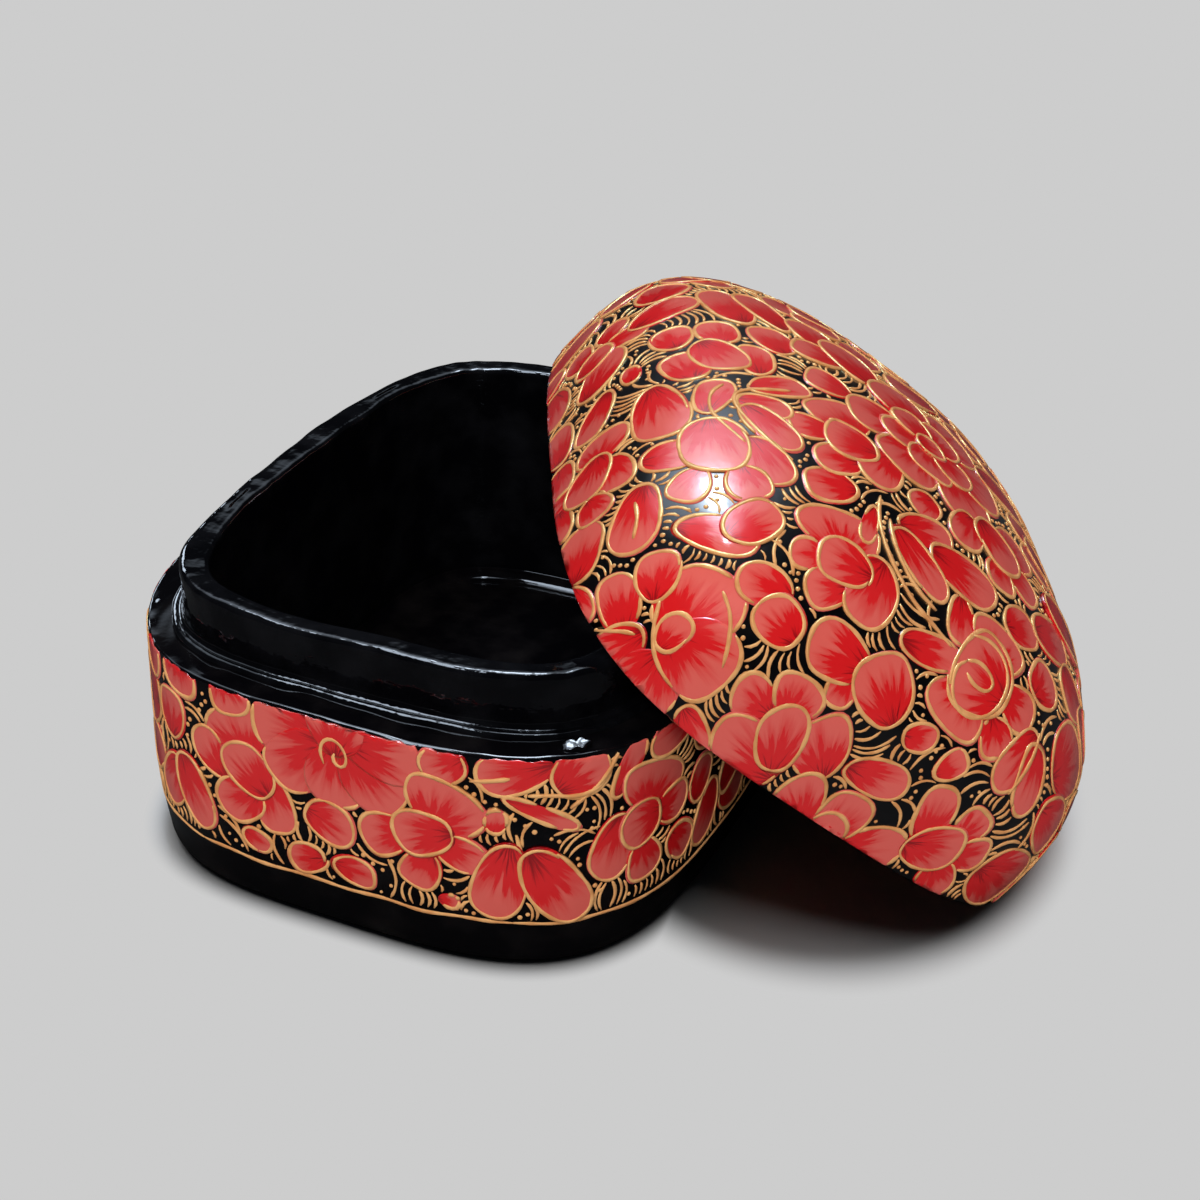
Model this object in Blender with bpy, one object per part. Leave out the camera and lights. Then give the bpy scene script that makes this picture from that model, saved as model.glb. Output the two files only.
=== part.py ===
# Papier mache trinket box with a domed lid. The lid is off and leans against the base.
# Sizes are in metres and angles in degrees. X runs across the box, Y along it, and Z up
# from the table, with the origin at the centre of the base's underside.

import math

import bmesh
import bpy
from mathutils import Matrix
from mathutils.bvhtree import BVHTree

# The plan is a superellipse. A power of 2 is an ellipse, and higher powers are squarer.
plan_length = 0.0900
plan_width = 0.0720
plan_power = 3.55

# The base is the lower part of the moulded shell.
base_height = 0.0289
shell_wall = 0.0049
floor_thickness = 0.0030
foot_inset = 0.0014
foot_rise = 0.0130
foot_round = 0.0020
shell_edge_round = 0.0007

# The liner is a glued band of board that stands up past the shoulder as a lip.
glue_gap = 0.0003
liner_wall = 0.0034
lip_rise = 0.0073
lip_round = 0.0010

# The lid is the upper part of the shell. Its wall is what the lip's clearance leaves.
lid_height = 0.0302
crown_wall = 0.0042
lid_clearance = 0.0005
crown_plan_power = 2.2
dome_plan_power = 2.0
dome_rise_power = 3.24
crown_flat = 0.02

# The lid leans along one heading, turned a little about its own axis.
lean_heading = 22.2
lean_angle = 37.0
lid_turn = 4.7
rest_gap = 0.0003
seat_step = 0.002
seat_halvings = 16

# Counts of points and sections.
ring_points = 96
round_steps = 3
foot_steps = 4
dome_steps = 13
sharp_angle = 40.0

lacquer_black = (0.010, 0.009, 0.010, 1.0)
petal_red = (0.480, 0.062, 0.052, 1.0)
base_roughness = 0.25
liner_roughness = 0.15
lid_roughness = 0.20


def clear_scene():
    for thing in list(bpy.data.objects):
        bpy.data.objects.remove(thing, do_unlink=True)
    for mesh in list(bpy.data.meshes):
        bpy.data.meshes.remove(mesh)


def superellipse_point(angle, power):
    # The point of the plan at a polar angle, and the outward normal there.
    half_x = plan_width / 2
    half_y = plan_length / 2
    cosine, sine = math.cos(angle), math.sin(angle)
    radius = (abs(cosine / half_x) ** power + abs(sine / half_y) ** power) ** (-1 / power)
    x, y = radius * cosine, radius * sine
    slope_x = math.copysign(abs(x / half_x) ** (power - 1) / half_x, cosine)
    slope_y = math.copysign(abs(y / half_y) ** (power - 1) / half_y, sine)
    steepness = math.hypot(slope_x, slope_y)
    return x, y, slope_x / steepness, slope_y / steepness


def section(inset, height, scale=1.0, power=plan_power):
    # One level section: the plan moved in along its normals, and then scaled.
    points = []
    for index in range(ring_points):
        angle = 2 * math.pi * index / ring_points
        x, y, normal_x, normal_y = superellipse_point(angle, power)
        points.append(((x - inset * normal_x) * scale, (y - inset * normal_y) * scale, height))
    return points


def rounding(inset, height, radius, start, end):
    # Sections round an edge whose arc centre is at this inset and height.
    # An angle of 0 points outwards and 90 degrees points up.
    sections = []
    for step in range(round_steps + 1):
        angle = math.radians(start + (end - start) * step / round_steps)
        rounded_inset = inset - radius * math.cos(angle)
        sections.append(section(rounded_inset, height + radius * math.sin(angle)))
    return sections


def loft(name, sections, closed_loop=False):
    # A closed solid through the sections, which no turned or extruded shape can give.
    # A closed loop joins its last section to its first, and any other loft is capped.
    shape = bmesh.new()
    rings = [[shape.verts.new(point) for point in points] for points in sections]
    following = rings[1:] + rings[:1] if closed_loop else rings[1:]
    for ring, next_ring in zip(rings, following):
        for index in range(ring_points):
            shape.faces.new((ring[index - 1], ring[index], next_ring[index], next_ring[index - 1]))
    if not closed_loop:
        shape.faces.new(rings[0])
        shape.faces.new(rings[-1])
    bmesh.ops.recalc_face_normals(shape, faces=shape.faces)
    mesh = bpy.data.meshes.new(name)
    shape.to_mesh(mesh)
    shape.free()
    mesh.shade_smooth()
    mesh.set_sharp_from_angle(angle=math.radians(sharp_angle))
    return bpy.data.objects.new(name, mesh)


def wall_inset(height):
    # The wall is upright at the shoulder and draws in towards the foot.
    return foot_inset * max(0.0, 1 - height / foot_rise) ** 2


def base_shell():
    # Outside from the underside to the shoulder, then down the inside to the floor.
    underside = wall_inset(foot_round) + foot_round
    outside = rounding(underside, foot_round, foot_round, -90, 0)
    for step in range(1, foot_steps + 1):
        height = foot_round + (foot_rise - foot_round) * step / foot_steps
        outside.append(section(wall_inset(height), height))
    edge = shell_edge_round
    shoulder = rounding(edge, base_height - edge, edge, 0, 90)
    shoulder += rounding(shell_wall - edge, base_height - edge, edge, 90, 180)
    inside = [section(shell_wall, floor_thickness)]
    return loft("base_shell", outside + shoulder + inside)


def inner_liner():
    # A band that stands on the floor, with its upper edge rounded on both sides.
    outer = shell_wall + glue_gap
    inner = outer + liner_wall
    foot = floor_thickness + glue_gap
    top = base_height + lip_rise - lip_round
    band = [section(inner, foot), section(outer, foot)]
    band += rounding(outer + lip_round, top, lip_round, 0, 90)
    band += rounding(inner - lip_round, top, lip_round, 90, 180)
    return loft("inner_liner", band, closed_loop=True)


def dome_sections(inset, height):
    # From the rim up: r ** dome_plan_power + (z / height) ** dome_rise_power = 1.
    # The plan grows rounder with the height, and the crown closes on a small flat, whose
    # size is a share of the plan's.
    sections = []
    for step in range(1, dome_steps):
        angle = math.radians(90 * step / dome_steps)
        scale = math.cos(angle) ** (2 / dome_plan_power)
        rise = math.sin(angle) ** (2 / dome_rise_power)
        power = plan_power + (crown_plan_power - plan_power) * rise ** dome_rise_power
        sections.append(section(inset, height * rise, scale, power))
    sections.append(section(inset, height, crown_flat, crown_plan_power))
    return sections


def lid_shell():
    # Outside from the crown down to the rim, then up the inside to the hollow's crown.
    lid_wall = shell_wall + glue_gap - lid_clearance
    edge = shell_edge_round
    outside = dome_sections(0.0, lid_height)
    rim = rounding(edge, edge, edge, 0, -90)
    rim += rounding(lid_wall - edge, edge, edge, -90, -180)
    inside = dome_sections(lid_wall, lid_height - crown_wall)
    return loft("lid_shell", outside[::-1] + rim + inside)


def surface_tree(pieces, place):
    # A search tree of the pieces' faces, with all of them moved by one matrix.
    corners, faces = [], []
    for piece in pieces:
        first = len(corners)
        corners += [place @ vertex.co for vertex in piece.data.vertices]
        faces += [[first + index for index in face.vertices] for face in piece.data.polygons]
    return BVHTree.FromPolygons(corners, faces)


def leaning_place(lid, reach):
    # The lid's place when it leans with its centre this far out along the heading
    # and the lowest point of its rim just above the table.
    heading = Matrix.Rotation(math.radians(lean_heading), 4, "Z")
    lean = Matrix.Rotation(math.radians(lean_angle), 4, "Y")
    turn = Matrix.Rotation(math.radians(lid_turn), 4, "Z")
    turned = heading @ lean @ turn
    lowest = min((turned @ vertex.co).z for vertex in lid.data.vertices)
    centre = heading @ Matrix.Translation((reach, 0, rest_gap - lowest))
    return centre @ lean @ turn


def seat_lid(lid, carriers):
    # The lid slides in along its heading until it touches the base. The last step is
    # halved until it is fine, and the lid backs off so that the rest gap is left square
    # to its rim.
    still = surface_tree(carriers, Matrix.Identity(4))

    def touches(reach):
        return bool(surface_tree([lid], leaning_place(lid, reach)).overlap(still))

    far = plan_length + plan_width
    while far > seat_step and not touches(far - seat_step):
        far -= seat_step
    near = far - seat_step
    for _ in range(seat_halvings):
        middle = (near + far) / 2
        if touches(middle):
            near = middle
        else:
            far = middle
    back_off = rest_gap / math.sin(math.radians(lean_angle))
    lid.matrix_world = leaning_place(lid, far + back_off)


def lacquer(name, color, roughness):
    material = bpy.data.materials.new(name)
    material.use_nodes = True
    shader = material.node_tree.nodes["Principled BSDF"]
    shader.inputs["Base Color"].default_value = color
    shader.inputs["Roughness"].default_value = roughness
    shader.inputs["Coat Weight"].default_value = 1.0
    return material


def build():
    clear_scene()
    parts = bpy.data.collections.new("papier_mache_box")
    bpy.context.scene.collection.children.link(parts)
    base = base_shell()
    liner = inner_liner()
    lid = lid_shell()
    base.data.materials.append(lacquer("painted_shell", petal_red, base_roughness))
    liner.data.materials.append(lacquer("black_lacquer", lacquer_black, liner_roughness))
    lid.data.materials.append(lacquer("painted_lid", petal_red, lid_roughness))
    for piece in (base, liner, lid):
        parts.objects.link(piece)
    liner.parent = base
    seat_lid(lid, [base, liner])


build()
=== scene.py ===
import math

import bpy
import numpy as np
from mathutils import Matrix, Vector


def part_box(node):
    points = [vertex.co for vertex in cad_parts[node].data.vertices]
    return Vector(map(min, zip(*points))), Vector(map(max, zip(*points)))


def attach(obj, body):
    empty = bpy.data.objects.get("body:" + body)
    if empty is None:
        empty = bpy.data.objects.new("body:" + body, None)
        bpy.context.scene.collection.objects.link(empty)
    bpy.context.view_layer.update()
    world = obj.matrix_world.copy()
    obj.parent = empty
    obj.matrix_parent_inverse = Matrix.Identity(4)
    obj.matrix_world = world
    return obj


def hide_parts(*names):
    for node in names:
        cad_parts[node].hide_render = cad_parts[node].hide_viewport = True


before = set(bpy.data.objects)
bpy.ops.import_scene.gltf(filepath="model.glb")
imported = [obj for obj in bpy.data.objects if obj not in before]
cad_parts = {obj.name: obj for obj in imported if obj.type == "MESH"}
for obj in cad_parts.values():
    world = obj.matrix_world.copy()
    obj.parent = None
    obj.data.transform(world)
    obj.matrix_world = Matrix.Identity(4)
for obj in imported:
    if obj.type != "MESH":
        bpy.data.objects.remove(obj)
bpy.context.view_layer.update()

mm = 0.001                     # shapes are worked out in millimetres, meshes are in metres
fullTurn = 2 * math.pi

# ---- camera

cameraLook = {
    "azimuth": 22.21, "elevation": 29.37, "distance": 282.84, "roll": 0.039,
    "target": (9.927, 7.667, 20.0), "lens": 65.93, "sensor": 36.0,
    "clip": (0.005, 60.0),
}


def awayFrom(azimuth, elevation):
    # Unit vector from the box towards an azimuth and elevation in degrees.
    azimuth, elevation = math.radians(azimuth), math.radians(elevation)
    return Vector((math.sin(azimuth) * math.cos(elevation),
                   -math.cos(azimuth) * math.cos(elevation), math.sin(elevation)))


def placeCamera(look):
    # The eye stands at the distance from the target, along azimuth and elevation.
    back = awayFrom(look["azimuth"], look["elevation"])
    right = (-back).cross(Vector((0, 0, 1))).normalized()
    up = right.cross(-back)
    turn = Matrix.Rotation(look["roll"], 3, back)
    camera = bpy.data.objects.new("photoCamera", bpy.data.cameras.new("photoCamera"))
    bpy.context.scene.collection.objects.link(camera)
    axes = Matrix((turn @ right, turn @ up, back)).transposed()
    eye = (Vector(look["target"]) + back * look["distance"]) * mm
    camera.matrix_world = Matrix.Translation(eye) @ axes.to_4x4()
    camera.data.sensor_width = look["sensor"]
    camera.data.lens = look["lens"]
    camera.data.clip_start, camera.data.clip_end = look["clip"]
    bpy.context.scene.camera = camera


placeCamera(cameraLook)
print("camera placed")

# ---- the moulded shape, in the same named sizes as the CAD

boxShape = {
    "halfWidth": 36.0, "halfLength": 45.0, "planPower": 3.55,
    "baseHeight": 28.9, "shellWall": 4.9, "floor": 3.0,
    "footInset": 1.4, "footRise": 13.0, "footRound": 2.0, "edgeRound": 0.5,
    "linerInset": 5.2, "linerWall": 3.4, "linerFoot": 3.3, "lipTop": 36.2, "lipRound": 0.8,
    "lidHeight": 30.2, "lidWall": 4.7, "crownWall": 4.2,
    "crownPower": 2.2, "risePower": 3.24, "rimRound": 0.5,
}
lidLean = {"heading": 22.2, "lean": 37.0, "turn": 4.7}
# One corner of the base is worn back, and the lid is sanded in shallow hollows.
handWork = {"cornerCut": 0.9, "cornerAngle": -2.26, "cornerWidth": 0.30, "lidWave": 0.12}
# How far hand work strays round the plan: seed, size, least and most waves, and their fall.
handWaves = {
    "wall": (3, 0.10, 2, 14, 0.8), "rimFine": (11, 0.0256, 20, 90, 0.3),
    "rimLong": (12, 0.16, 3, 24, 0.6), "ledge": (13, 0.05, 6, 60, 0.4),
    "lipLong": (21, 0.17, 2, 20, 0.7), "lipFine": (22, 0.0204, 20, 90, 0.3),
    "lipSide": (23, 0.119, 3, 30, 0.6), "linerFoot": (24, 0.085, 4, 36, 0.5),
    "drop": (61, 0.10, 2, 9, 0.8), "lidRim": (31, 0.10, 8, 140, 0.4),
    "footLine": (51, 0.16, 3, 40, 0.7), "paintEdge": (52, 0.09, 20, 160, 0.2),
}


def planPoint(angle, power):
    # Superellipse |x/a|^p + |y/b|^p = 1 at a polar angle, with its unit outward normal.
    a, b = boxShape["halfWidth"], boxShape["halfLength"]
    cosine, sine = np.cos(angle), np.sin(angle)
    radius = (np.abs(cosine / a) ** power + np.abs(sine / b) ** power) ** (-1 / power)
    x, y = radius * cosine, radius * sine
    slopeX = np.sign(cosine) * np.abs(x / a) ** (power - 1) / a
    slopeY = np.sign(sine) * np.abs(y / b) ** (power - 1) / b
    steepness = np.hypot(slopeX, slopeY)
    return x, y, slopeX / steepness, slopeY / steepness


def handWave(angle, name):
    # A sum of cosines round the plan whose strength falls with their number of waves.
    seed, size, lowest, highest, fall = handWaves[name]
    rng = np.random.default_rng(seed)
    counts = np.arange(lowest, highest)
    strengths = rng.normal(size=len(counts)) / counts ** fall
    phases = rng.uniform(0, fullTurn, len(counts))
    flat = np.asarray(angle, float).ravel()
    total = (strengths[:, None] * np.cos(counts[:, None] * flat + phases[:, None])).sum(0)
    return (size * total / np.sqrt((strengths ** 2).sum() / 2)).reshape(np.shape(angle))


def footDraw(height):
    # The wall draws in below the foot's rise, by the square of the share that is missing.
    return boxShape["footInset"] * np.maximum(0, 1 - height / boxShape["footRise"]) ** 2


def wallInset(angle, height):
    # The mould's draw at the foot, plus the cut corner and a shallow wave, all inwards.
    apart = np.angle(np.exp(1j * (angle - handWork["cornerAngle"])))
    corner = handWork["cornerCut"] * np.exp(-(apart / handWork["cornerWidth"]) ** 2)
    wave = np.maximum(0, handWaves["wall"][1] + handWave(angle, "wall"))
    return footDraw(height) + corner + wave


planTable = {"angle": np.linspace(-1.5 * math.pi, 0.5 * math.pi, 24001)}
planX, planY = planPoint(planTable["angle"], boxShape["planPower"])[:2]
planRun = np.concatenate([[0], np.cumsum(np.hypot(np.diff(planX), np.diff(planY)))])
perimeter = planRun[-1]
planTable["run"] = planRun - perimeter / 2   # 0 at the middle of the front wall


def wallPoint(run, height, lift):
    # The wall unrolled: a run round the plan and a height, lifted along the wall's normal,
    # and drawn in where the shoulder's edge is rounded.
    wrapped = (run + perimeter / 2) % perimeter - perimeter / 2
    angle = np.interp(wrapped, planTable["run"], planTable["angle"])
    x, y, normalX, normalY = planPoint(angle, boxShape["planPower"])
    edge = boxShape["edgeRound"]
    climb = np.clip(height - boxShape["baseHeight"] + edge, 0, edge)
    out = lift - wallInset(angle, height) - edge + np.sqrt(edge ** 2 - climb ** 2)
    return np.stack([x + out * normalX, y + out * normalY, height + 0 * x], -1)


def domePoint(rise, angle, inset, height):
    # Meridian r^2 + (z/h)^q = 1 by its angle from rim to crown; the plan grows rounder.
    climb = np.sin(rise) ** (2 / boxShape["risePower"])
    power = (boxShape["planPower"] + (boxShape["crownPower"] - boxShape["planPower"])
             * climb ** boxShape["risePower"])
    x, y, normalX, normalY = planPoint(angle, power)
    scale = np.cos(rise)
    x, y, z = (x - inset * normalX) * scale, (y - inset * normalY) * scale, height * climb
    return np.stack(np.broadcast_arrays(x, y, z), -1)


def domeField(points):
    # The dome's implicit value: 1 on the outside surface, more beyond it.
    x, y, z = np.moveaxis(points, -1, 0)
    climb = np.clip(np.abs(z) / boxShape["lidHeight"], 0, 1.2) ** boxShape["risePower"]
    power = boxShape["planPower"] + (boxShape["crownPower"] - boxShape["planPower"]) * climb
    a, b = boxShape["halfWidth"], boxShape["halfLength"]
    level = (np.abs(x / a) ** power + np.abs(y / b) ** power) ** (1 / power)
    return level ** 2 + climb * np.sign(z)


def domeNormal(points):
    # The gradient of the dome's implicit value, by central differences.
    normal = np.stack([domeField(points + step) - domeField(points - step)
                       for step in np.eye(3) * 0.02], -1)
    return normal / (np.linalg.norm(normal, axis=-1, keepdims=True) + 1e-12)


def domeWave(points):
    # Shallow hollows of hand sanding, always inwards: a product of long sines.
    x, y, z = points[..., 0], points[..., 1], points[..., 2]
    wave = np.sin(0.17 * x + 1.1) * np.sin(0.14 * y + 0.3) + 0.5 * np.sin(0.31 * y + 0.23 * z)
    return handWork["lidWave"] * (0.65 * wave - 1.0)


# The lid is charted from its crown: an angle, and the length of the meridian down to a point.
# Near the rim the steps grow finer, because the meridian turns upright there.
meridian = {"angle": np.linspace(-math.pi, math.pi, 361), "share": np.linspace(0, 1, 400)}
riseSteps = np.concatenate([np.linspace(math.pi / 2, 0.02, 300), np.geomspace(0.019, 1e-9, 160)])
meridianPoints = domePoint(riseSteps[:, None], meridian["angle"], 0.0, boxShape["lidHeight"])
meridianRun = np.cumsum(np.linalg.norm(np.diff(meridianPoints, axis=0), axis=-1), 0)
meridianRun = np.pad(meridianRun, ((1, 0), (0, 0)))
meridian["reach"] = meridianRun[-1]
meridian["rise"] = np.stack([np.interp(meridian["share"] * column[-1], column, riseSteps)
                             for column in meridianRun.T], 1)


def chartShare(u, v):
    # How far down its meridian a chart point lies, from 0 at the crown to 1 at the rim.
    return np.hypot(u, v) / np.interp(np.arctan2(v, u), meridian["angle"], meridian["reach"])


def chartRise(u, v):
    # Bilinear reading of the table from share and angle to the meridian's own angle.
    rows = np.clip(chartShare(u, v), 0, 1) * (len(meridian["share"]) - 1)
    columns = (np.arctan2(v, u) + math.pi) / fullTurn * (len(meridian["angle"]) - 1)
    row = np.minimum(rows.astype(int), len(meridian["share"]) - 2)
    column = np.minimum(columns.astype(int), len(meridian["angle"]) - 2)
    down, side = rows - row, columns - column
    table = meridian["rise"]
    near = table[row, column] * (1 - side) + table[row, column + 1] * side
    far = table[row + 1, column] * (1 - side) + table[row + 1, column + 1] * side
    return near * (1 - down) + far * down


def turned(name, axis):
    # A turn by one of the lean's angles.
    return Matrix.Rotation(math.radians(lidLean[name]), 3, axis)


def lidPlace(axes):
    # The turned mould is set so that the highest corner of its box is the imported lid's.
    grid = domePoint(np.linspace(0, math.pi / 2, 400)[:, None], np.linspace(0, fullTurn, 721),
                     0.0, boxShape["lidHeight"])
    high = (grid.reshape(-1, 3) @ axes.T).max(0)
    return np.array(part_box("lid_shell")[1]) / mm - high


lidAxes = np.array(turned("heading", "Z") @ turned("lean", "Y") @ turned("turn", "Z"))
lidCentre = lidPlace(lidAxes)


def lidWorld(points):
    # From the lid's own axes to its place against the base.
    return points @ lidAxes.T + lidCentre


def tuckRim(points, normals):
    # Below the start of the rim's rounding a point moves in, and its normal turns down.
    bend = boxShape["rimRound"]
    dip = np.clip(1 - points[..., 2:] / bend, 0, 0.98)
    flat = np.sqrt(1 - dip ** 2)
    level = normals * (1, 1, 0)
    tipped = level * flat + np.where(dip > 0, -dip, normals[..., 2:]) * (0, 0, 1)
    return points - level * bend * (1 - flat), tipped


def lidPoint(u, v, lift):
    # A chart point on the dome, sunk by the hand wave and lifted along the normal.
    local = domePoint(chartRise(u, v), np.arctan2(v, u), 0.0, boxShape["lidHeight"])
    normals = domeNormal(local)
    moved, tipped = tuckRim(local, normals)
    return lidWorld(moved + normals * domeWave(local)[..., None] + tipped * lift[..., None])


print("mould worked out, perimeter %.1f mm" % perimeter)

# ---- meshes


def makeMesh(name, points, faces, brush=None):
    # Points in millimetres; faces are arrays of corner numbers, one row per face.
    mesh = bpy.data.meshes.new(name)
    corners = np.concatenate([block.ravel() for block in faces]).astype(np.int32)
    sizes = np.concatenate([np.full(len(block), block.shape[1]) for block in faces])
    starts = np.concatenate([[0], np.cumsum(sizes)[:-1]]).astype(np.int32)
    mesh.vertices.add(len(points))
    mesh.vertices.foreach_set("co", (np.asarray(points) * mm).astype(np.float32).ravel())
    mesh.loops.add(len(corners))
    mesh.loops.foreach_set("vertex_index", corners)
    mesh.polygons.add(len(sizes))
    mesh.polygons.foreach_set("loop_start", starts)
    mesh.update(calc_edges=True)
    mesh.validate()
    mesh.shade_smooth()
    if brush is not None:
        layer = mesh.attributes.new("brush", "FLOAT_VECTOR", "POINT")
        layer.data.foreach_set("vector", np.asarray(brush, np.float32).ravel())
    piece = bpy.data.objects.new(name, mesh)
    bpy.context.scene.collection.objects.link(piece)
    return piece


def ringSkin(name, rings, startPole=None, endPole=None, closedLoop=False, flip=False):
    # Rings of equal count joined by quads, and closed by fans to the poles.
    count, around = rings.shape[:2]
    points = [rings.reshape(-1, 3)]
    index = np.arange(count * around).reshape(count, around)
    after = np.roll(index, -1, axis=1)
    upper = np.roll(index, -1, axis=0) if closedLoop else index[1:]
    upperAfter = np.roll(upper, -1, axis=1)
    rows = len(upper)
    quads = np.stack([index[:rows], after[:rows], upperAfter, upper], -1).reshape(-1, 4)
    faces = [quads]
    total = count * around
    if startPole is not None:
        points.append(np.array([startPole]))
        faces.append(np.stack([np.full(around, total), after[0], index[0]], -1))
        total += 1
    if endPole is not None:
        points.append(np.array([endPole]))
        faces.append(np.stack([index[-1], after[-1], np.full(around, total)], -1))
    if flip:
        faces = [block[:, ::-1] for block in faces]
    return makeMesh(name, np.concatenate(points), faces)


def arcSteps(inset, height, radius, start, end, steps):
    # Profile points round an edge: angle 0 points outwards and 90 degrees up.
    angle = np.radians(np.linspace(start, end, steps))
    return np.stack([inset - radius * np.cos(angle), height + radius * np.sin(angle)], -1)


def lineSteps(start, end, steps):
    # Even steps along a straight line, without its start.
    return np.linspace(start, end, steps + 1)[1:]


# ---- the two coats of the base: shell and liner

baseShellLook = {
    "around": 480, "filletReach": 1.8, "filletRise": 1.6, "filletLift": 0.05,
    "fadeReach": 4.0, "fadePower": 1.5, "edgeBand": 0.6, "rimBand": 0.9, "rimMiddle": 0.5,
    "rimSunk": 0.05, "rimSide": 0.6, "longShare": 0.55, "ledgeReach": 5.0,
    "hidden": 0.3, "floorRing": 14.0,
}
linerLook = {
    "around": 480, "flareRise": 1.5, "beadReach": 1.5, "beadRound": 0.70, "topBand": 1.6,
    "longShare": 0.8, "topSunk": 0.06, "fineShare": 0.6, "topSlope": 0.1,
    "beadSunk": 0.06, "beadArc": (-10, 100), "beadBlend": (1.1, 0.9), "flareArc": (12, 90),
}


def sweepPlan(profile, around, straying):
    # Each profile point (inset, height) goes round the plan; straying moves it by hand.
    angle = np.arange(around) * fullTurn / around
    x, y, normalX, normalY = planPoint(angle, boxShape["planPower"])
    inset, height = (profile[:, k:k + 1] + 0 * angle for k in (0, 1))
    moveIn, moveUp = straying(angle + 0 * inset, inset, height)
    inset, height = inset + moveIn, height + moveUp
    return np.stack([x - inset * normalX, y - inset * normalY, height], -1)


def baseStraying(angle, inset, height):
    # Outside, the wall's own hand wave; it dies away inwards, and edges carry a fine wave.
    look, draw = baseShellLook, footDraw(height)
    wall = wallInset(angle, height) - draw
    fade = np.clip(1 - (inset - draw) / look["fadeReach"], 0, 1) ** look["fadePower"]
    nearEdge = np.exp(-((height - boxShape["baseHeight"]) / look["edgeBand"]) ** 2)
    nearRim = nearEdge * np.exp(-((inset - look["rimMiddle"]) / look["rimBand"]) ** 2)
    fineWave = handWave(angle, "rimFine")
    onLedge = nearEdge * np.clip(inset / look["ledgeReach"], 0, 1)
    longWave = nearEdge * handWave(angle, "rimLong") * look["longShare"] * (inset > 0.05)
    moveUp = nearRim * (fineWave - look["rimSunk"]) + longWave
    moveUp = moveUp + onLedge * handWave(angle + inset * 0.05, "ledge")
    return wall * fade + nearRim * np.abs(fineWave) * look["rimSide"], moveUp


def baseProfile():
    # From the foot up the wall, over the ledge, and down to the floor inside the liner.
    shape, bend = boxShape, boxShape["footRound"]
    edge, top, wall = shape["edgeRound"], shape["baseHeight"], shape["shellWall"]
    foot = arcSteps(footDraw(bend) + bend, bend, bend, -90, 0, 9)
    heights = np.linspace(bend, shape["footRise"], 11)[1:]
    lower = np.stack([footDraw(heights), heights], -1)
    upright = lineSteps((0, shape["footRise"]), (0, top - edge), 18)
    rim = arcSteps(edge, top - edge, edge, 0, 90, 8)[1:]
    ledge = lineSteps((edge, top), (wall - edge, top), 12)
    inner = arcSteps(wall - edge, top - edge, edge, 90, 180, 5)[1:]
    well = lineSteps((wall, top - edge), (wall, shape["floor"]), 6)
    liner = shape["linerInset"] + shape["linerWall"]
    reach, rise, lift = (baseShellLook["fillet" + name] for name in ("Reach", "Rise", "Lift"))
    under = liner - baseShellLook["hidden"]
    hidden = np.array([[under, shape["floor"]], [under, shape["floor"] + rise]])
    angle = np.radians(np.linspace(0, 90, 9))
    fillet = np.stack([liner + reach * (1 - np.cos(angle)),
                       shape["floor"] + lift + rise * (1 - np.sin(angle))], -1)
    floor = lineSteps((liner + reach, shape["floor"] + lift),
                      (baseShellLook["floorRing"], shape["floor"]), 5)
    return np.concatenate([foot, lower, upright, rim, ledge, inner, well, hidden,
                           fillet, floor])


def makeBaseShell(look):
    # The profile swept round the plan, and closed by fans under the foot and on the floor.
    rings = sweepPlan(baseProfile(), look["around"], baseStraying)
    return ringSkin("baseShell", rings, startPole=(0, 0, 0.0), endPole=(0, 0, boxShape["floor"]))


def linerStraying(angle, inset, height):
    # The lip's edges stray most; the band's lower part stays where the mould has it.
    look, fineWave = linerLook, handWave(angle, "lipFine")
    nearTop = np.exp(-((height - boxShape["lipTop"]) / look["topBand"]) ** 2)
    nearShoulder = np.exp(-(height - boxShape["baseHeight"]) ** 2)
    outer = inset < boxShape["linerInset"] + boxShape["linerWall"] / 2
    longWave = look["longShare"] * handWave(angle, "lipLong")
    moveUp = nearTop * (longWave + fineWave - look["topSunk"])
    side = handWave(angle + 0.02 * height, "lipSide") + look["fineShare"] * fineWave
    moveIn = nearTop * side * np.where(outer, 1, -1)
    return moveIn - nearShoulder * outer * handWave(angle, "linerFoot"), moveUp


def linerProfile():
    # From the liner's foot up its outer face with the bead at the shoulder, over the lip, and
    # down the inside.
    shape = boxShape
    outer, inner = shape["linerInset"], shape["linerInset"] + shape["linerWall"]
    top, bend, foot = shape["lipTop"], shape["lipRound"], shape["linerFoot"]
    rise, reach, bead = (linerLook[name] for name in ("flareRise", "beadReach", "beadRound"))
    across, up = linerLook["beadBlend"]
    shoulder = shape["baseHeight"] - linerLook["beadSunk"]
    start = np.array([[inner, foot], [outer, foot], [outer - reach, shoulder - 0.3]])
    beadRound = arcSteps(outer - reach + bead, shoulder, bead, *linerLook["beadArc"], 8)
    angle = np.radians(np.linspace(*linerLook["flareArc"], 8))
    width = reach - bead * across
    flare = np.stack([outer - width * (1 - np.sin(angle)),
                      shoulder + bead * up + (rise - bead) * (1 - np.cos(angle))], -1)
    side = lineSteps(flare[-1], (outer, top - bend), 8)
    outerEdge = arcSteps(outer + bend, top - bend, bend, 0, 84, 8)[1:]
    low = top - linerLook["topSlope"]
    face = lineSteps((outer + bend, top - 0.02), (inner - bend, low), 5)
    innerEdge = arcSteps(inner - bend, low - bend, bend, 90, 180, 8)[1:]
    down = lineSteps((inner, low - bend), (inner, foot), 14)[:-1]
    return np.concatenate([start, beadRound, flare, side, outerEdge, face, innerEdge, down])


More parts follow.
